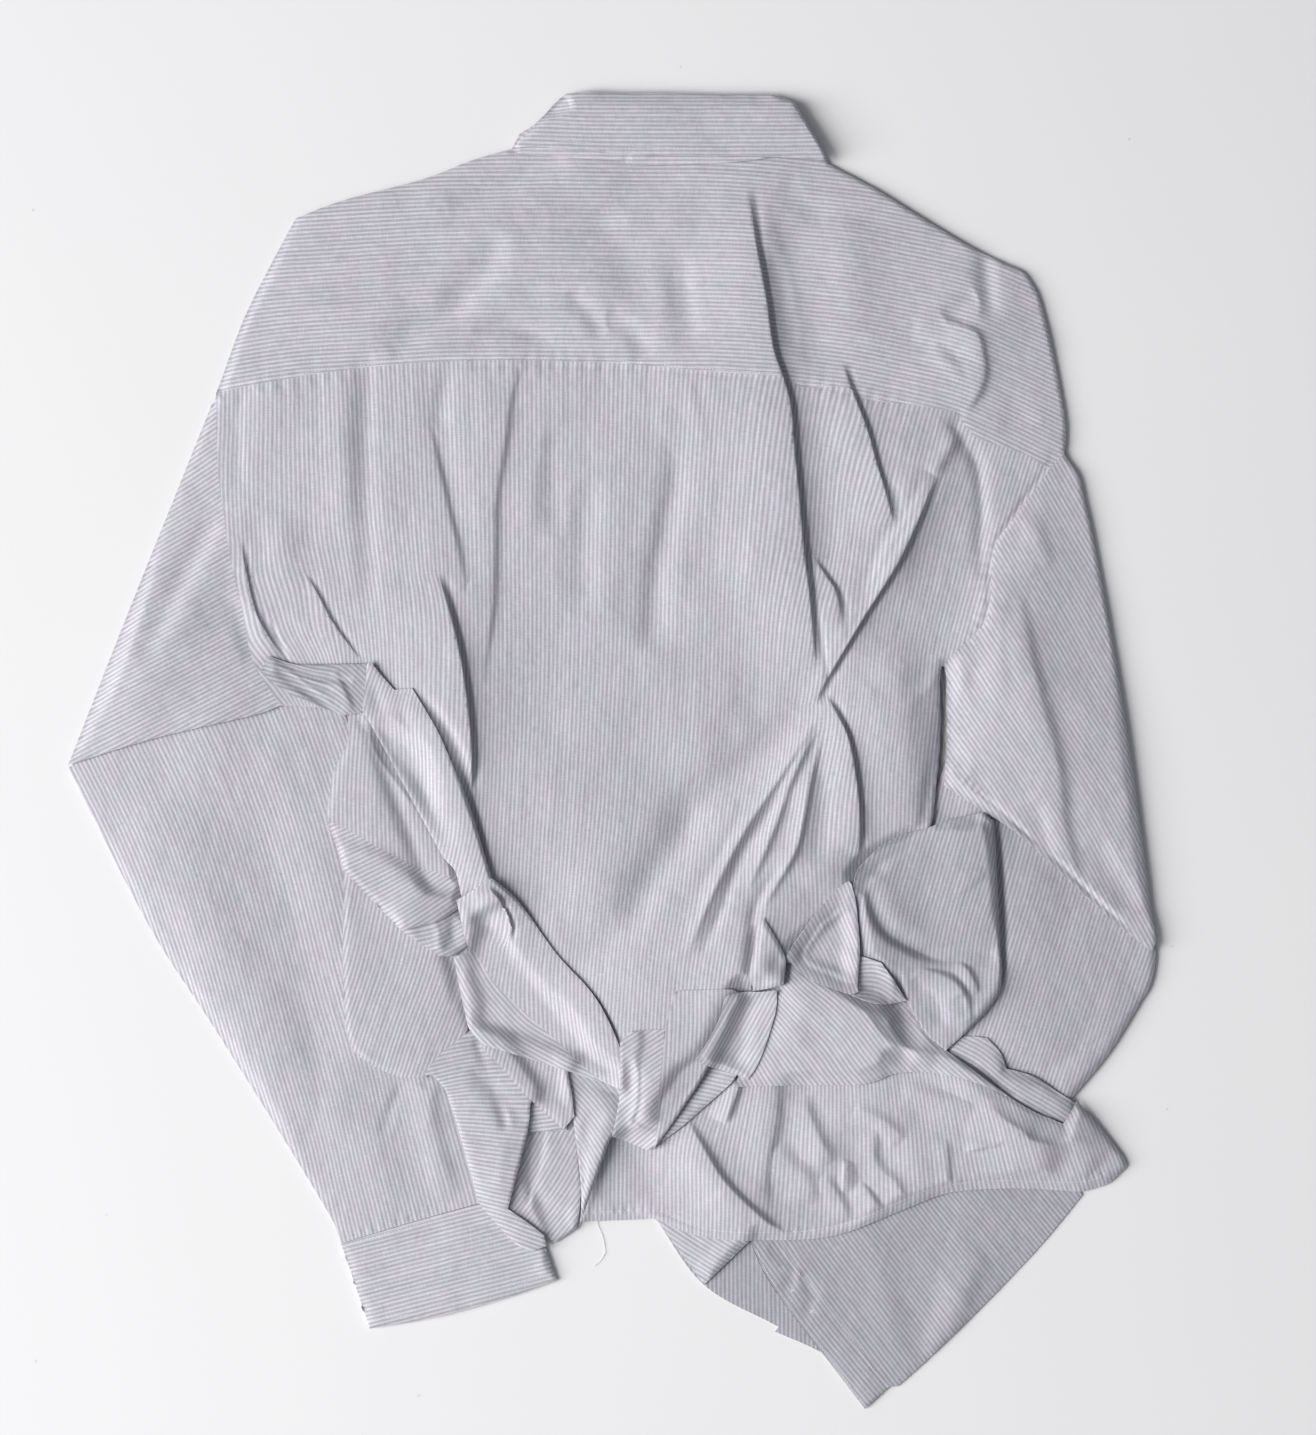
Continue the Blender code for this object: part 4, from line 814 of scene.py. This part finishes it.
yoke_seam = [(-245, 219), (-156, 234), (-104, 238), (4, 237), (107, 228), (142, 222), (193, 210)]
sleeve_fold = [(216, -16), (246, -42), (276, -69), (300, -92), (324, -114)]
body_creases = [
    # the long pleat that starts under the collar
    *overhang([(88, 350), (90, 332), (92, 311), (97, 280), (101, 249), (108, 228), (112, 212), (114, 187),
               (117, 156), (120, 125), (124, 94), (128, 62), (133, 32)], 26, 4.8, 2.4),
    Crease([(100, 310), (108, 270), (114, 245)], 8, -1.4, -0.3),
    Crease([(100, 340), (112, 300), (120, 262), (124, 236)], 10, -1.2, -0.4),
    Crease([(104, 352), (118, 338), (134, 328)], 8, -1.0),
    # the left pair of pleats
    Crease([(-112, 208), (-105, 180), (-98, 149), (-92, 124), (-88, 100)], 8, -2.0, -0.75),
    Crease([(-88, 122), (-88, 108), (-90, 98)], 1.8, -1.0, 0.2),
    *overhang([(-103, 110), (-99, 90), (-93, 63), (-88, 32), (-85, 0), (-84, -34)], 30, 4.8, 2.4),
    Crease([(-54, 250), (-57, 230), (-60, 218), (-64, 187), (-69, 156), (-70, 125), (-71, 94), (-74, 69),
            (-79, 40)], 11, -1.9, -0.88),
    Crease([(-54, 246), (-57, 230), (-60, 218), (-64, 187), (-69, 156), (-70, 125), (-71, 94), (-74, 69)],
           1.7, -1.8, 0, 0.2),
    Crease([(-150, 250), (-153, 205), (-153, 174), (-152, 143), (-150, 84)], 7, -2.0, 0.1),
    Crease([(-162, 240), (-165, 190), (-163, 140)], 10, 1.2),
    Crease([(-99, 244), (-105, 214), (-103, 186)], 6, -1.6),
    # the armhole and the pull towards the twist, left
    *overhang([(-228, 134), (-225, 112), (-218, 84), (-204, 60)], 10, 1.8, 0.6),
    Crease([(-205, 120), (-200, 96), (-192, 70)], 9, -0.8),
    *overhang([(-190, 112), (-182, 100), (-172, 81), (-159, 63), (-150, 53)], 10, 1.8, 0.6),
    Crease([(-224, 230), (-231, 210), (-231, 188), (-229, 160)], 4, -0.8, 0.4),
    Crease([(-212, 80), (-205, 66), (-199, 54)], 2.2, -1.2, 0.3),
    Crease([(-205, 150), (-200, 100), (-184, 66)], 12, 1.8),
    # the yoke's soft bands
    Crease([(-139, 248), (-119, 261), (-100, 272), (-88, 286), (-76, 301), (-65, 320)], 10, -3.0, -0.2),
    Crease([(-102, 337), (-82, 344), (-66, 350), (-51, 357), (-28, 367)], 7, -2.0),
    Crease([(-86, 260), (-62, 262), (-50, 258), (-36, 255)], 5, -1.4),
    Crease([(-27, 284), (-14, 270), (-4, 256)], 6, -1.7),
    Crease([(-5, 268), (12, 260), (22, 242)], 7, -2.0),
    Crease([(41, 312), (47, 275), (50, 246)], 8, -1.5, 0.3), Crease([(30, 300), (34, 262)], 9, 1.2),
    Crease([(-60, 330), (-20, 300), (0, 270)], 16, 1.2),
    Crease([(140, 330), (150, 290), (146, 256)], 14, 1.6),
    Crease([(-200, 290), (-160, 262), (-130, 250)], 16, 1.0),
    # the back's middle
    Crease([(45, 240), (54, 212), (66, 178)], 8, 1.3, 0.6),
    Crease([(37, 200), (39, 168), (33, 137), (27, 106), (25, 60)], 8, -2.4, -0.2),
    Crease([(-35, 205), (-38, 165), (-38, 130)], 8, -1.4),
    Crease([(-12, 170), (-17, 130), (-16, 84)], 8, -1.3),
    Crease([(70, 220), (76, 160), (84, 100)], 16, 1.6), Crease([(5, 210), (2, 140), (-2, 60)], 18, 1.2),
    Crease([(132, 28), (112, 12), (98, 0), (76, -15), (55, -30), (42, -55), (24, -80), (11, -105),
            (-7, -117), (-30, -125)], 12, -4.0, 0.2),
    # right of the long pleat
    *overhang([(146, 240), (151, 221), (159, 199), (166, 174), (174, 149), (178, 134)], 16, 3.4, 1.2),
    Crease([(169, 170), (175, 154), (174, 136)], 4, -1.4, 0, 0.3),
    *overhang([(127, 120), (134, 108), (140, 98), (142, 82), (139, 60)], 8, 2.6, 1.0),
    # the long ridge from the armhole down to the pinch, and the valley beside it
    *overhang([(206, 172), (200, 162), (179, 118), (154, 78), (135, 44), (128, 26)], 8, 4.2, 1.8),
    Crease([(199, 172), (184, 148), (170, 124), (150, 86), (131, 50)], 2.4, -1.2, 0, 0.3),
    Crease([(196, 178), (178, 146), (164, 126), (144, 76)], 4, -1.6, 0, 0.3),
    # the shoulder's crooked crease
    Crease([(231, 314), (232, 290), (235, 266)], 6, -2.4), Crease([(227, 282), (206, 267)], 7, -2.2),
    Crease([(203, 269), (216, 262), (225, 258), (229, 246), (230, 233), (226, 221), (216, 208)],
           9, 2.6, 0.72),
    Crease([(220, 216), (213, 200), (217, 192), (225, 180), (228, 165), (229, 143), (228, 125),
            (229, 106)], 4.5, -2.2, 0, 0.3),
    Crease([(215, 198), (204, 180), (198, 170)], 6, 2.4, 0.4),
    Crease([(186, 260), (216, 256)], 7, 1.4, -0.3),
    Crease([(196, 252), (208, 240), (222, 228)], 6, 1.4),
    # the fan of gathers below the pinch
    Crease([(136, 34), (104, -16), (83, -48), (64, -84), (46, -126)], 4.2, 3.6, 0.5, 0.7),
    Crease([(134, 30), (111, -18), (101, -46), (84, -86)], 3.6, 3.4, 0.5, 0.7),
    Crease([(132, 26), (121, -28), (114, -60), (101, -83), (92, -98)], 3.6, 3.8, 0.6, 0.7),
    Crease([(112, -20), (98, -37), (83, -58), (76, -74), (67, -99), (54, -127)], 3.2, -2.6, 0, 0.3),
    Crease([(106, -72), (98, -80), (89, -96), (85, -114)], 3.4, -2.4, 0, 0.3),
    Crease([(89, -104), (86, -130), (84, -142)], 4, -4.0, 0, 0.3),
    Crease([(124, 24), (127, -6), (130, -36), (126, -70)], 9, -2.6, -0.2),
    Crease([(150, -30), (140, -60), (120, -84)], 10, 1.4),
    Crease([(78, -30), (62, -62), (44, -90)], 8, 1.2),
    *overhang([(136, 34), (141, 24), (148, 6), (153, -24), (156, -66)], 14, 4.2, 2.0),
    Crease([(176, 70), (180, 0), (180, -50)], 18, 2.2, 0.3),
    Crease([(160, 36), (182, 40), (204, 54)], 7, -1.4),
    # the edge over the slit beside the right sleeve, and the ends of the gathers over the knot
    Crease([(186, 60), (186, 20), (184, -20), (180, -60)], 12, 0.8, -0.2),
    # the grooves of the seams
    Crease(yoke_seam, 1.3, -0.5),
    Crease([(276, 186), (246, 142), (235, 124), (231, 83), (218, 65), (206, 50)], 1.4, -1.0),
    # the cloth pressed down beside the bands that leave the knot
    Crease([(-120, 37), (-104, 12), (-93, -18), (-84, -43), (-78, -67), (-70, -81)], 3.4, -3.4),
    Crease([(-60, -92), (-39, -130), (-11, -155), (5, -180)], 2.2, -3.6),
    Crease([(206, 44), (211, 10), (209, -18)], 13, -3.5),
    # the sleeves
    Crease([(-242, 154), (-256, 125), (-266, 106), (-278, 82), (-292, 56)], 8, -2.8, 0.2),
    Crease([(-234, 96), (-226, 70), (-220, 54)], 6, -2.2),
    Crease([(-240, 150), (-262, 100), (-304, 14)], 22, 2.4),
    Crease([(248, 106), (257, 63), (264, 32), (271, 7), (276, -18), (279, -49), (286, -74), (298, -96)],
           14, 2.6, 0.68),
    Crease([(259, 148), (270, 112)], 8, 1.2, 0.4), Crease([(244, 110), (240, 60), (250, 20)], 12, 1.6),
    Crease([(225, 76), (225, 44), (221, 19), (224, -6), (236, -34)], 9, -1.3),
    Crease(sleeve_fold, 1.7, -1.8, 0, 0.2), Crease([(262, -30), (270, -66)], 7, -1.8, 0.3),
    Crease([(298, -54), (312, -78), (324, -98)], 8, -1.8, 0.3),
    Crease([(236, -40), (270, -66), (322, -106)], 5, 1.2, -0.3)]
lay(["back", "yoke", "sleeve_left_upper", "sleeve_right_upper"], even=14, roll=1.2, edge=3.8, uneven=0.55,
    creases=body_creases,
    edges=[("back", [(203, 42), (203.6, 20), (203, 0), (200.5, -24), (197.5, -46), (192, -53), (181, -57),
                     (168, -64), (160, -71), (155, -79), (150, -88), (130, -106), (118, -120),
                     (110, -130)]),
           ("back", [(81, -148.8), (74, -158), (66, -172), (58, -186), (48, -202), (38, -218), (29, -234),
                     (20, -239), (9, -234), (5, -220), (4.5, -206), (2, -195), (-3.9, -189.8)]),
           ("sleeve_right_upper", [(206, 52), (207.6, 42), (206.9, 36), (208.1, 31), (207, 26),
                                   (208.2, 20), (207.2, 14), (208.3, 8), (207.1, 3), (207.6, -3),
                                   (206.2, -9), (206.4, -15), (205.4, -21)])],
    seams=[(yoke_seam, 0.32, 9.0, 7.0),
           ([(-243, 174), (-240, 153), (-234, 118), (-226, 82)], 0.3, 9.0, 5.0),
           ([(268, 172), (246, 142), (235, 124), (231, 83), (218, 65), (208, 50)], 0.34, 7.0, 7.0),
           ([(214, 42), (214, 14), (213, -14)], 0.4, 4.6, 4.0),
           (sleeve_fold, 0.45, 5.2, 3.0)])
back = cut("back", 2.3, [(-216, 200, 90), (-226, 130, 104), (-214, 90, 130), (-208, 60, 152),
                         (-190, 150, 90), (-185, 90, 88), (-150, 60, 88), (-60, 150, 90), (-60, -60, 90),
                         (0, 0, 88), (0, -160, 88), (60, 100, 90), (60, -60, 80), (110, 60, 90),
                         (100, -40, 66), (80, -110, 72), (130, 150, 92), (150, 100, 78), (180, 150, 66),
                         (190, 90, 66), (230, 150, 72), (170, 20, 78), (180, -40, 86), (140, -50, 96),
                         (125, -80, 96)], striped_shirting)
declare(back, "back")
yoke = cut("yoke", 2.3, [(-200, 300, 2), (-150, 260, 4), (-230, 240, 10), (-60, 300, 0), (30, 330, 0),
                         (30, 260, 0), (120, 320, -6), (120, 260, -6), (180, 300, -12), (180, 240, -12),
                         (250, 260, -24), (255, 200, -26)], striped_shirting)
declare(yoke, "yoke")
sew("yoke_stitches", "yoke", [inset("yoke", (-243, 222), (192, 213), 1.8)])
sleeve = cut("sleeve_left_upper", 2.2, [(-250, 190, 34), (-265, 120, 30), (-300, 40, 27), (-230, 60, 28),
                                        (-240, 20, 26)], striped_shirting)
declare(sleeve, "sleeve_left_upper")
sleeve = cut("sleeve_right_upper", 2.2, [(270, 150, -60), (285, 60, -63), (320, -60, -63), (240, 60, -56),
                                         (225, 0, -52), (260, -50, -56)], striped_shirting)
declare(sleeve, "sleeve_right_upper")

# The flap and the tucks at the right of the knot: shirting, folded where the tail is pulled up over
# the back. The flap lies with the cloth's inside up; its darker tone is painted shade, as it tilts away
# from the light.
lay(["flap_right"], even=9, roll=1.2, edge=4.2, uneven=0.5, under=["skirt_upper"], edges=[
    ("flap_right", [(149, -82), (152, -73), (158, -66), (166, -59), (180, -52), (196, -47), (206, -43),
                    (216, -41), (228, -38)])], creases=[
    Crease([(157, -80), (162, -99), (169, -111), (179, -118), (194, -125), (216, -127), (240, -128)],
           5.5, -5.0, -0.4, 0.2),
    Crease([(180, -112), (205, -94), (232, -70)], 14, 3.4, -0.5),
    Crease([(166, -130), (196, -136), (214, -146), (222, -172)], 9, 4.4, 0.6),
    Crease([(209, -127), (219, -135), (226, -150)], 5, 2.4, 0.5),
    Crease([(186, -140), (200, -156), (206, -170)], 5, -2.4, 0.3),
    Crease([(150, -60), (158, -100), (176, -150)], 60, 7.0),
    Crease([(240, -112), (241, -132), (236, -150), (222, -174)], 7, 2.4, 0.2),
    Crease([(214, -150), (220, -164)], 5, -2.0)])
flap = cut("flap_right", 1.6, [(190, -70, 74), (170, -110, 84), (230, -90, 70), (200, -95, 72),
                               (190, -150, 96), (222, -150, 90), (228, -132, 84)], inside_face_painted_shade)
declare(flap, "flap_right")
lay(["tuck_small"], even=6, roll=1.6, edges=[
    ("tuck_small", [(148, -150), (158, -154), (170, -156), (182, -154)])], creases=[
    Crease([(150, -130), (168, -132), (184, -152)], 5, 2.4, 0.4)])
tuck = cut("tuck_small", 1.4, [(152, -132, 24), (158, -142, -6), (172, -142, -38), (180, -152, -50)],
           striped_shirting)
declare(tuck, "tuck_small")
lay(["tuck_right"], even=6, roll=1.2, edge=2.6, crown=(2.2, 2.6), edges=[
    ("tuck_right", [(146, -80), (141, -83), (126, -100), (115, -115), (107, -127)]),
    ("tuck_right", [(107, -127), (120, -139), (134, -145), (148, -150), (152, -148)])], creases=[
    Crease([(142, -82), (148, -98), (150, -120), (150, -146)], 8, 2.6, 0.3),
    Crease([(132, -100), (130, -124), (122, -138)], 7, 1.6)])
tuck = cut("tuck_right", 1.4, [(112, -124, -50), (126, -112, -60), (140, -100, -70), (146, -130, -74)],
           striped_shirting)
declare(tuck, "tuck_right")

# The gathers' last tuck, right over the knot, and the turned edge under the left armhole: shirting,
# crumpled into small sharp folds.
lay(["gather_tuck"], even=5, roll=1.2, edge=1.2, crown=(2.0, 1.8), creases=[
    Crease([(91, -106), (88, -124), (85, -142)], 3, 1.6, -0.3, 0.4),
    Crease([(90, -112), (87, -140)], 2.2, -1.4)])
tuck = cut("gather_tuck", 1.3, [(90, -115, 84), (95, -135, 88)], striped_shirting)
declare(tuck, "gather_tuck")
lay(["underarm_left"], even=5, roll=1.6, creases=[
    Crease([(-214, 50), (-190, 53), (-166, 56), (-148, 56)], 3.5, 2.6, -0.2, 0.3),
    Crease([(-208, 56), (-192, 50), (-178, 46), (-160, 44)], 2.6, -3.6, 0.3, 0.2),
    Crease([(-208, 52), (-189, 38), (-176, 28), (-168, 22)], 3.0, -3.2, 0.3, 0.2),
    Crease([(-196, 50), (-186, 42), (-172, 38)], 2.0, -1.2),
    Crease([(-212, 36), (-196, 33), (-180, 27), (-166, 18)], 3, 1.6, -0.2, 0.4),
    Crease([(-172, 50), (-164, 34), (-160, 24)], 4, 1.6, 0.5)])
underarm = cut("underarm_left", 1.3, [(-205, 45, -15), (-190, 38, -22), (-174, 32, -28), (-160, 46, -48),
                                      (-156, 34, -52), (-180, 55, 8)], inside_face_painted_shade)
declare(underarm, "underarm_left")

# The twisted band from the left flank to the knot, and the tail's layers that hang from it: one long
# tail of shirting, turned over at each fold, so that its stripes change direction there.
band_line = [(-85.5, -123), (-73.1, -142.6), (-60.1, -155.6), (-40.9, -173), (-23.5, -189.1),
             (-10.8, -200.3), (5, -209.6)]
lay_folds([
    ({"band_upper": ([(-140, 40, 70), (-120, 10, 92), (-100, -30, 88), (-85, -70, 76)], (39, 176), 48.2)},
     5.0, (2.2, 5.4), [],
     [Crease([(-130, 42), (-128, 22), (-122, 4), (-113, -12), (-107, -24), (-103, -40)],
             4, -0.88, 0, 0.3),
      Crease([(-124, 36), (-110, 2), (-95, -36), (-82, -84)], 14, 0.99, -0.2),
      Crease([(-150, 46), (-142, 22)], 4, -1.32),
      Crease([(-94, -40), (-86, -70), (-82, -92)], 5, -0.99)]),
    ({"tail_centre_left": ([(-45, -250, 62), (-35, -290, 50)], (52, 90), 35.3)}, 3.0, (1.6, 3.4), [],
     [Crease([(-58, -284), (-50, -292), (-42, -304)], 4, -1.32),
      Crease([(-47, -214), (-45, -235), (-49, -262), (-58, -286)], 5, -6.0, 0.3)]),
    ({"tail_centre_right": ([(-22, -215, -44), (-12, -225, -52), (-12, -255, -60), (-20, -280, -62)],
                            (112, 41), 21.7)},
     9.0, (3.8, 9.2), [], [Crease([(2, -212), (-5, -235), (-14, -265), (-22, -290)], 15, 5.4)]),
    ({"tail_hem": ([(-45, -225, 8)], (37, 21), 4.6)}, 1.0, (0.9, 1.4), [], []),
    ({"tail_left": ([(-100, -195, 16), (-75, -190, 10), (-80, -225, -8), (-75, -270, -12),
                     (-55, -300, -20)], (139, 57), 49.0)},
     6.5, (2.8, 6.8), [],
     [Crease([(-88, -195), (-79, -204), (-66, -216), (-50, -233)], 5, -1.2, 0, 0.3),
      Crease([(-114, -206), (-98, -250), (-82, -290), (-62, -310)], 11, -5.0)]),
    ({"band_turn": ([(-75, -192, 74), (-55, -205, 80), (-35, -215, 84)], (40, 82), 18.2)}, 2.4,
     (1.5, 2.8), [],
     [Crease([(-86, -182), (-56, -212), (-32, -232)], 6, 0.9, -0.3),
      Crease([(-30, -198), (-34, -226)], 5, 1.32, 0.4)]),
    ({"band_lower": ([(-70, -110, 84), (-62, -130, 78), (-40, -150, 92), (-10, -185, 96)],
                     (47, 160), 56.7),
      "band_fold": ([(-90, -140, -62), (-72, -160, -48), (-40, -185, -28), (-10, -200, -24)],
                    (34, 138), 24.2)},
     5.4, (2.6, 5.8), [("band_lower", band_line), ("band_fold", band_line)],
     [*overhang([(-73, -84), (-66, -95), (-61, -109), (-63, -121)], 8, 3.4, 1.6),
      Crease([(-60, -122), (-54, -148), (-38, -164)], 5, -1.0, 0.2, 0.3),
      Crease([(-22, -168), (-10, -190), (-4, -206)], 6, -1.32, 0, 0.3),
      Crease([(-92, -176), (-66, -184), (-30, -196), (-2, -208)], 6, 0.9, -0.4),
      Crease([(-99, -124), (-97, -150), (-91, -178)], 8, -4.5)])],
    even=6, roll=1.2, step=1.6)

# The knot, one turn of the tail laid flat, and the two straps that leave it, the upper one on top:
# shirting pulled taut, so it lies thinner than elsewhere.
knot_line = [(32.9, -171.1), (32.3, -178.6), (29.8, -202.1), (27.9, -230.7), (26.7, -244.9)]
lay_folds([
    ({"tie_end": ([(44, -232, -6), (70, -205, -12)], (27, 72), 9.8)}, 1.6, (1.6, 3.0), [], []),
    ({"knot_left": ([(16, -180, 32), (14, -200, 38), (12, -216, 40), (12, -236, 44)], (32, 84), 20.6),
      "knot_right": ([(60, -150, 90), (42, -190, 86), (30, -230, 80)], (115, 41), 28.6)}, 4.6, (1.8, 4.6),
     [("knot_left", knot_line), ("knot_right", [(39.4, -147.2), (36, -159.4), *knot_line]),
      ("knot_right", [(80, -150), (73.8, -146.6), (56, -146.9), (41, -147.2)])],
     [Crease([(27, -216), (18, -224), (7, -237)], 2.2, -1.6, 0.3),
      Crease([(22, -174), (20, -200), (14, -240)], 9, 0.44),
      Crease([(36, -176), (34, -200), (30, -236)], 7, 0.4), Crease([(60, -152), (58, -170)], 3, -0.6),
      Crease([(70, -146), (72, -156), (69, -166)], 3.4, -3.0, 0, 0.2)]),
    ({"tie_right": ([(70, -170, 58), (95, -170, 64)], (40, 63), 19.5)}, 0.4, (2.2, 0.4),
     [("tie_right", [(73.8, -149.4), (82.5, -148.2), (91.8, -148.2), (101.7, -147)]),
      ("tie_right", [(101.7, -147), (101.5, -158), (98.5, -170), (94, -184), (89, -196),
                     (83.6, -203.4)])],
     [Crease([(84, -150), (78, -170), (70, -186)], 3, -0.8),
      Crease([(60, -191), (72, -196), (83, -202)], 2.2, 1.2)])],
    wall=TAUT, even=5, roll=1.0, step=1.4)

# The collar: stand and fall, two layers of shirting with an interlining, sewn to the yoke and
# topstitched, stiff enough to keep its folded edge.
for name, flat, area, stands, edges in (
        ("collar_stand", (29, 172), 37.6, 2.0,
         [("collar_stand", [(10, 362), (50, 363), (84, 365), (100, 369), (110, 380)])]),
        ("collar_fall", (46, 201), 68.8, 9.0, [])):
    lay([name], wall=INTERLINED, even=7, roll=1.2, edge=stands, uneven=0.3, edges=edges, creases=[
        Crease([(-60, 370), (-20, 367), (60, 365), (136, 364)], 6, 1.2, -0.3)])
    collar = cut(name, 2.0, [(-40, 385, -1), (30, 385, 0), (110, 385, 0)], shirting_fused,
                 wall=INTERLINED)
    declare(collar, name)
sew("collar_stitches", "collar_fall", [inset("collar_fall", (-56, 373), (128, 366), 5.0)])

# The light: a large soft window at the left, a weak bounce from the wall, and a pale room that fills
# the shadows.
def lamp(name, place, size, watts, colour):
    """A soft rectangular lamp, aimed at the shirt."""
    light = bpy.data.objects.new(name, bpy.data.lights.new(name, "AREA"))
    light.data.shape, light.data.size, light.data.size_y = "RECTANGLE", size[0], size[1]
    light.data.energy, light.data.color = watts, colour
    light.location = place
    light.rotation_euler = (-light.location).to_track_quat("-Z", "Y").to_euler()
    bpy.context.scene.collection.objects.link(light)


lamp("window_light", (-5.7, -0.8, 4.0), (3.4, 5.8), 680.0, (1.0, 0.985, 0.965))
lamp("wall_bounce", (-0.9, -0.9, 1.8), (1.5, 1.5), 5.0, (1.0, 0.99, 0.98))
room = bpy.data.worlds.new("pale_room")
room.use_nodes = True
room.node_tree.nodes["Background"].inputs["Color"].default_value = linear("#f1f4fb")
room.node_tree.nodes["Background"].inputs["Strength"].default_value = 0.21
bpy.context.scene.world = room

# The camera: straight above, as in the photograph, with a plain colour response. The lens is long
# enough to fill the frame with the shirt.
HIGH, TALL = 2.6, 0.890         # height over the surface, and the height of what it frames, in metres
camera = bpy.data.objects.new("camera", bpy.data.cameras.new("camera"))
camera.location = (0.0286, 0.0208, HIGH)
camera.data.sensor_fit = "VERTICAL"
camera.data.lens = camera.data.sensor_height * HIGH / TALL
bpy.context.scene.collection.objects.link(camera)
bpy.context.scene.camera = camera
bpy.context.scene.view_settings.view_transform = "Standard"
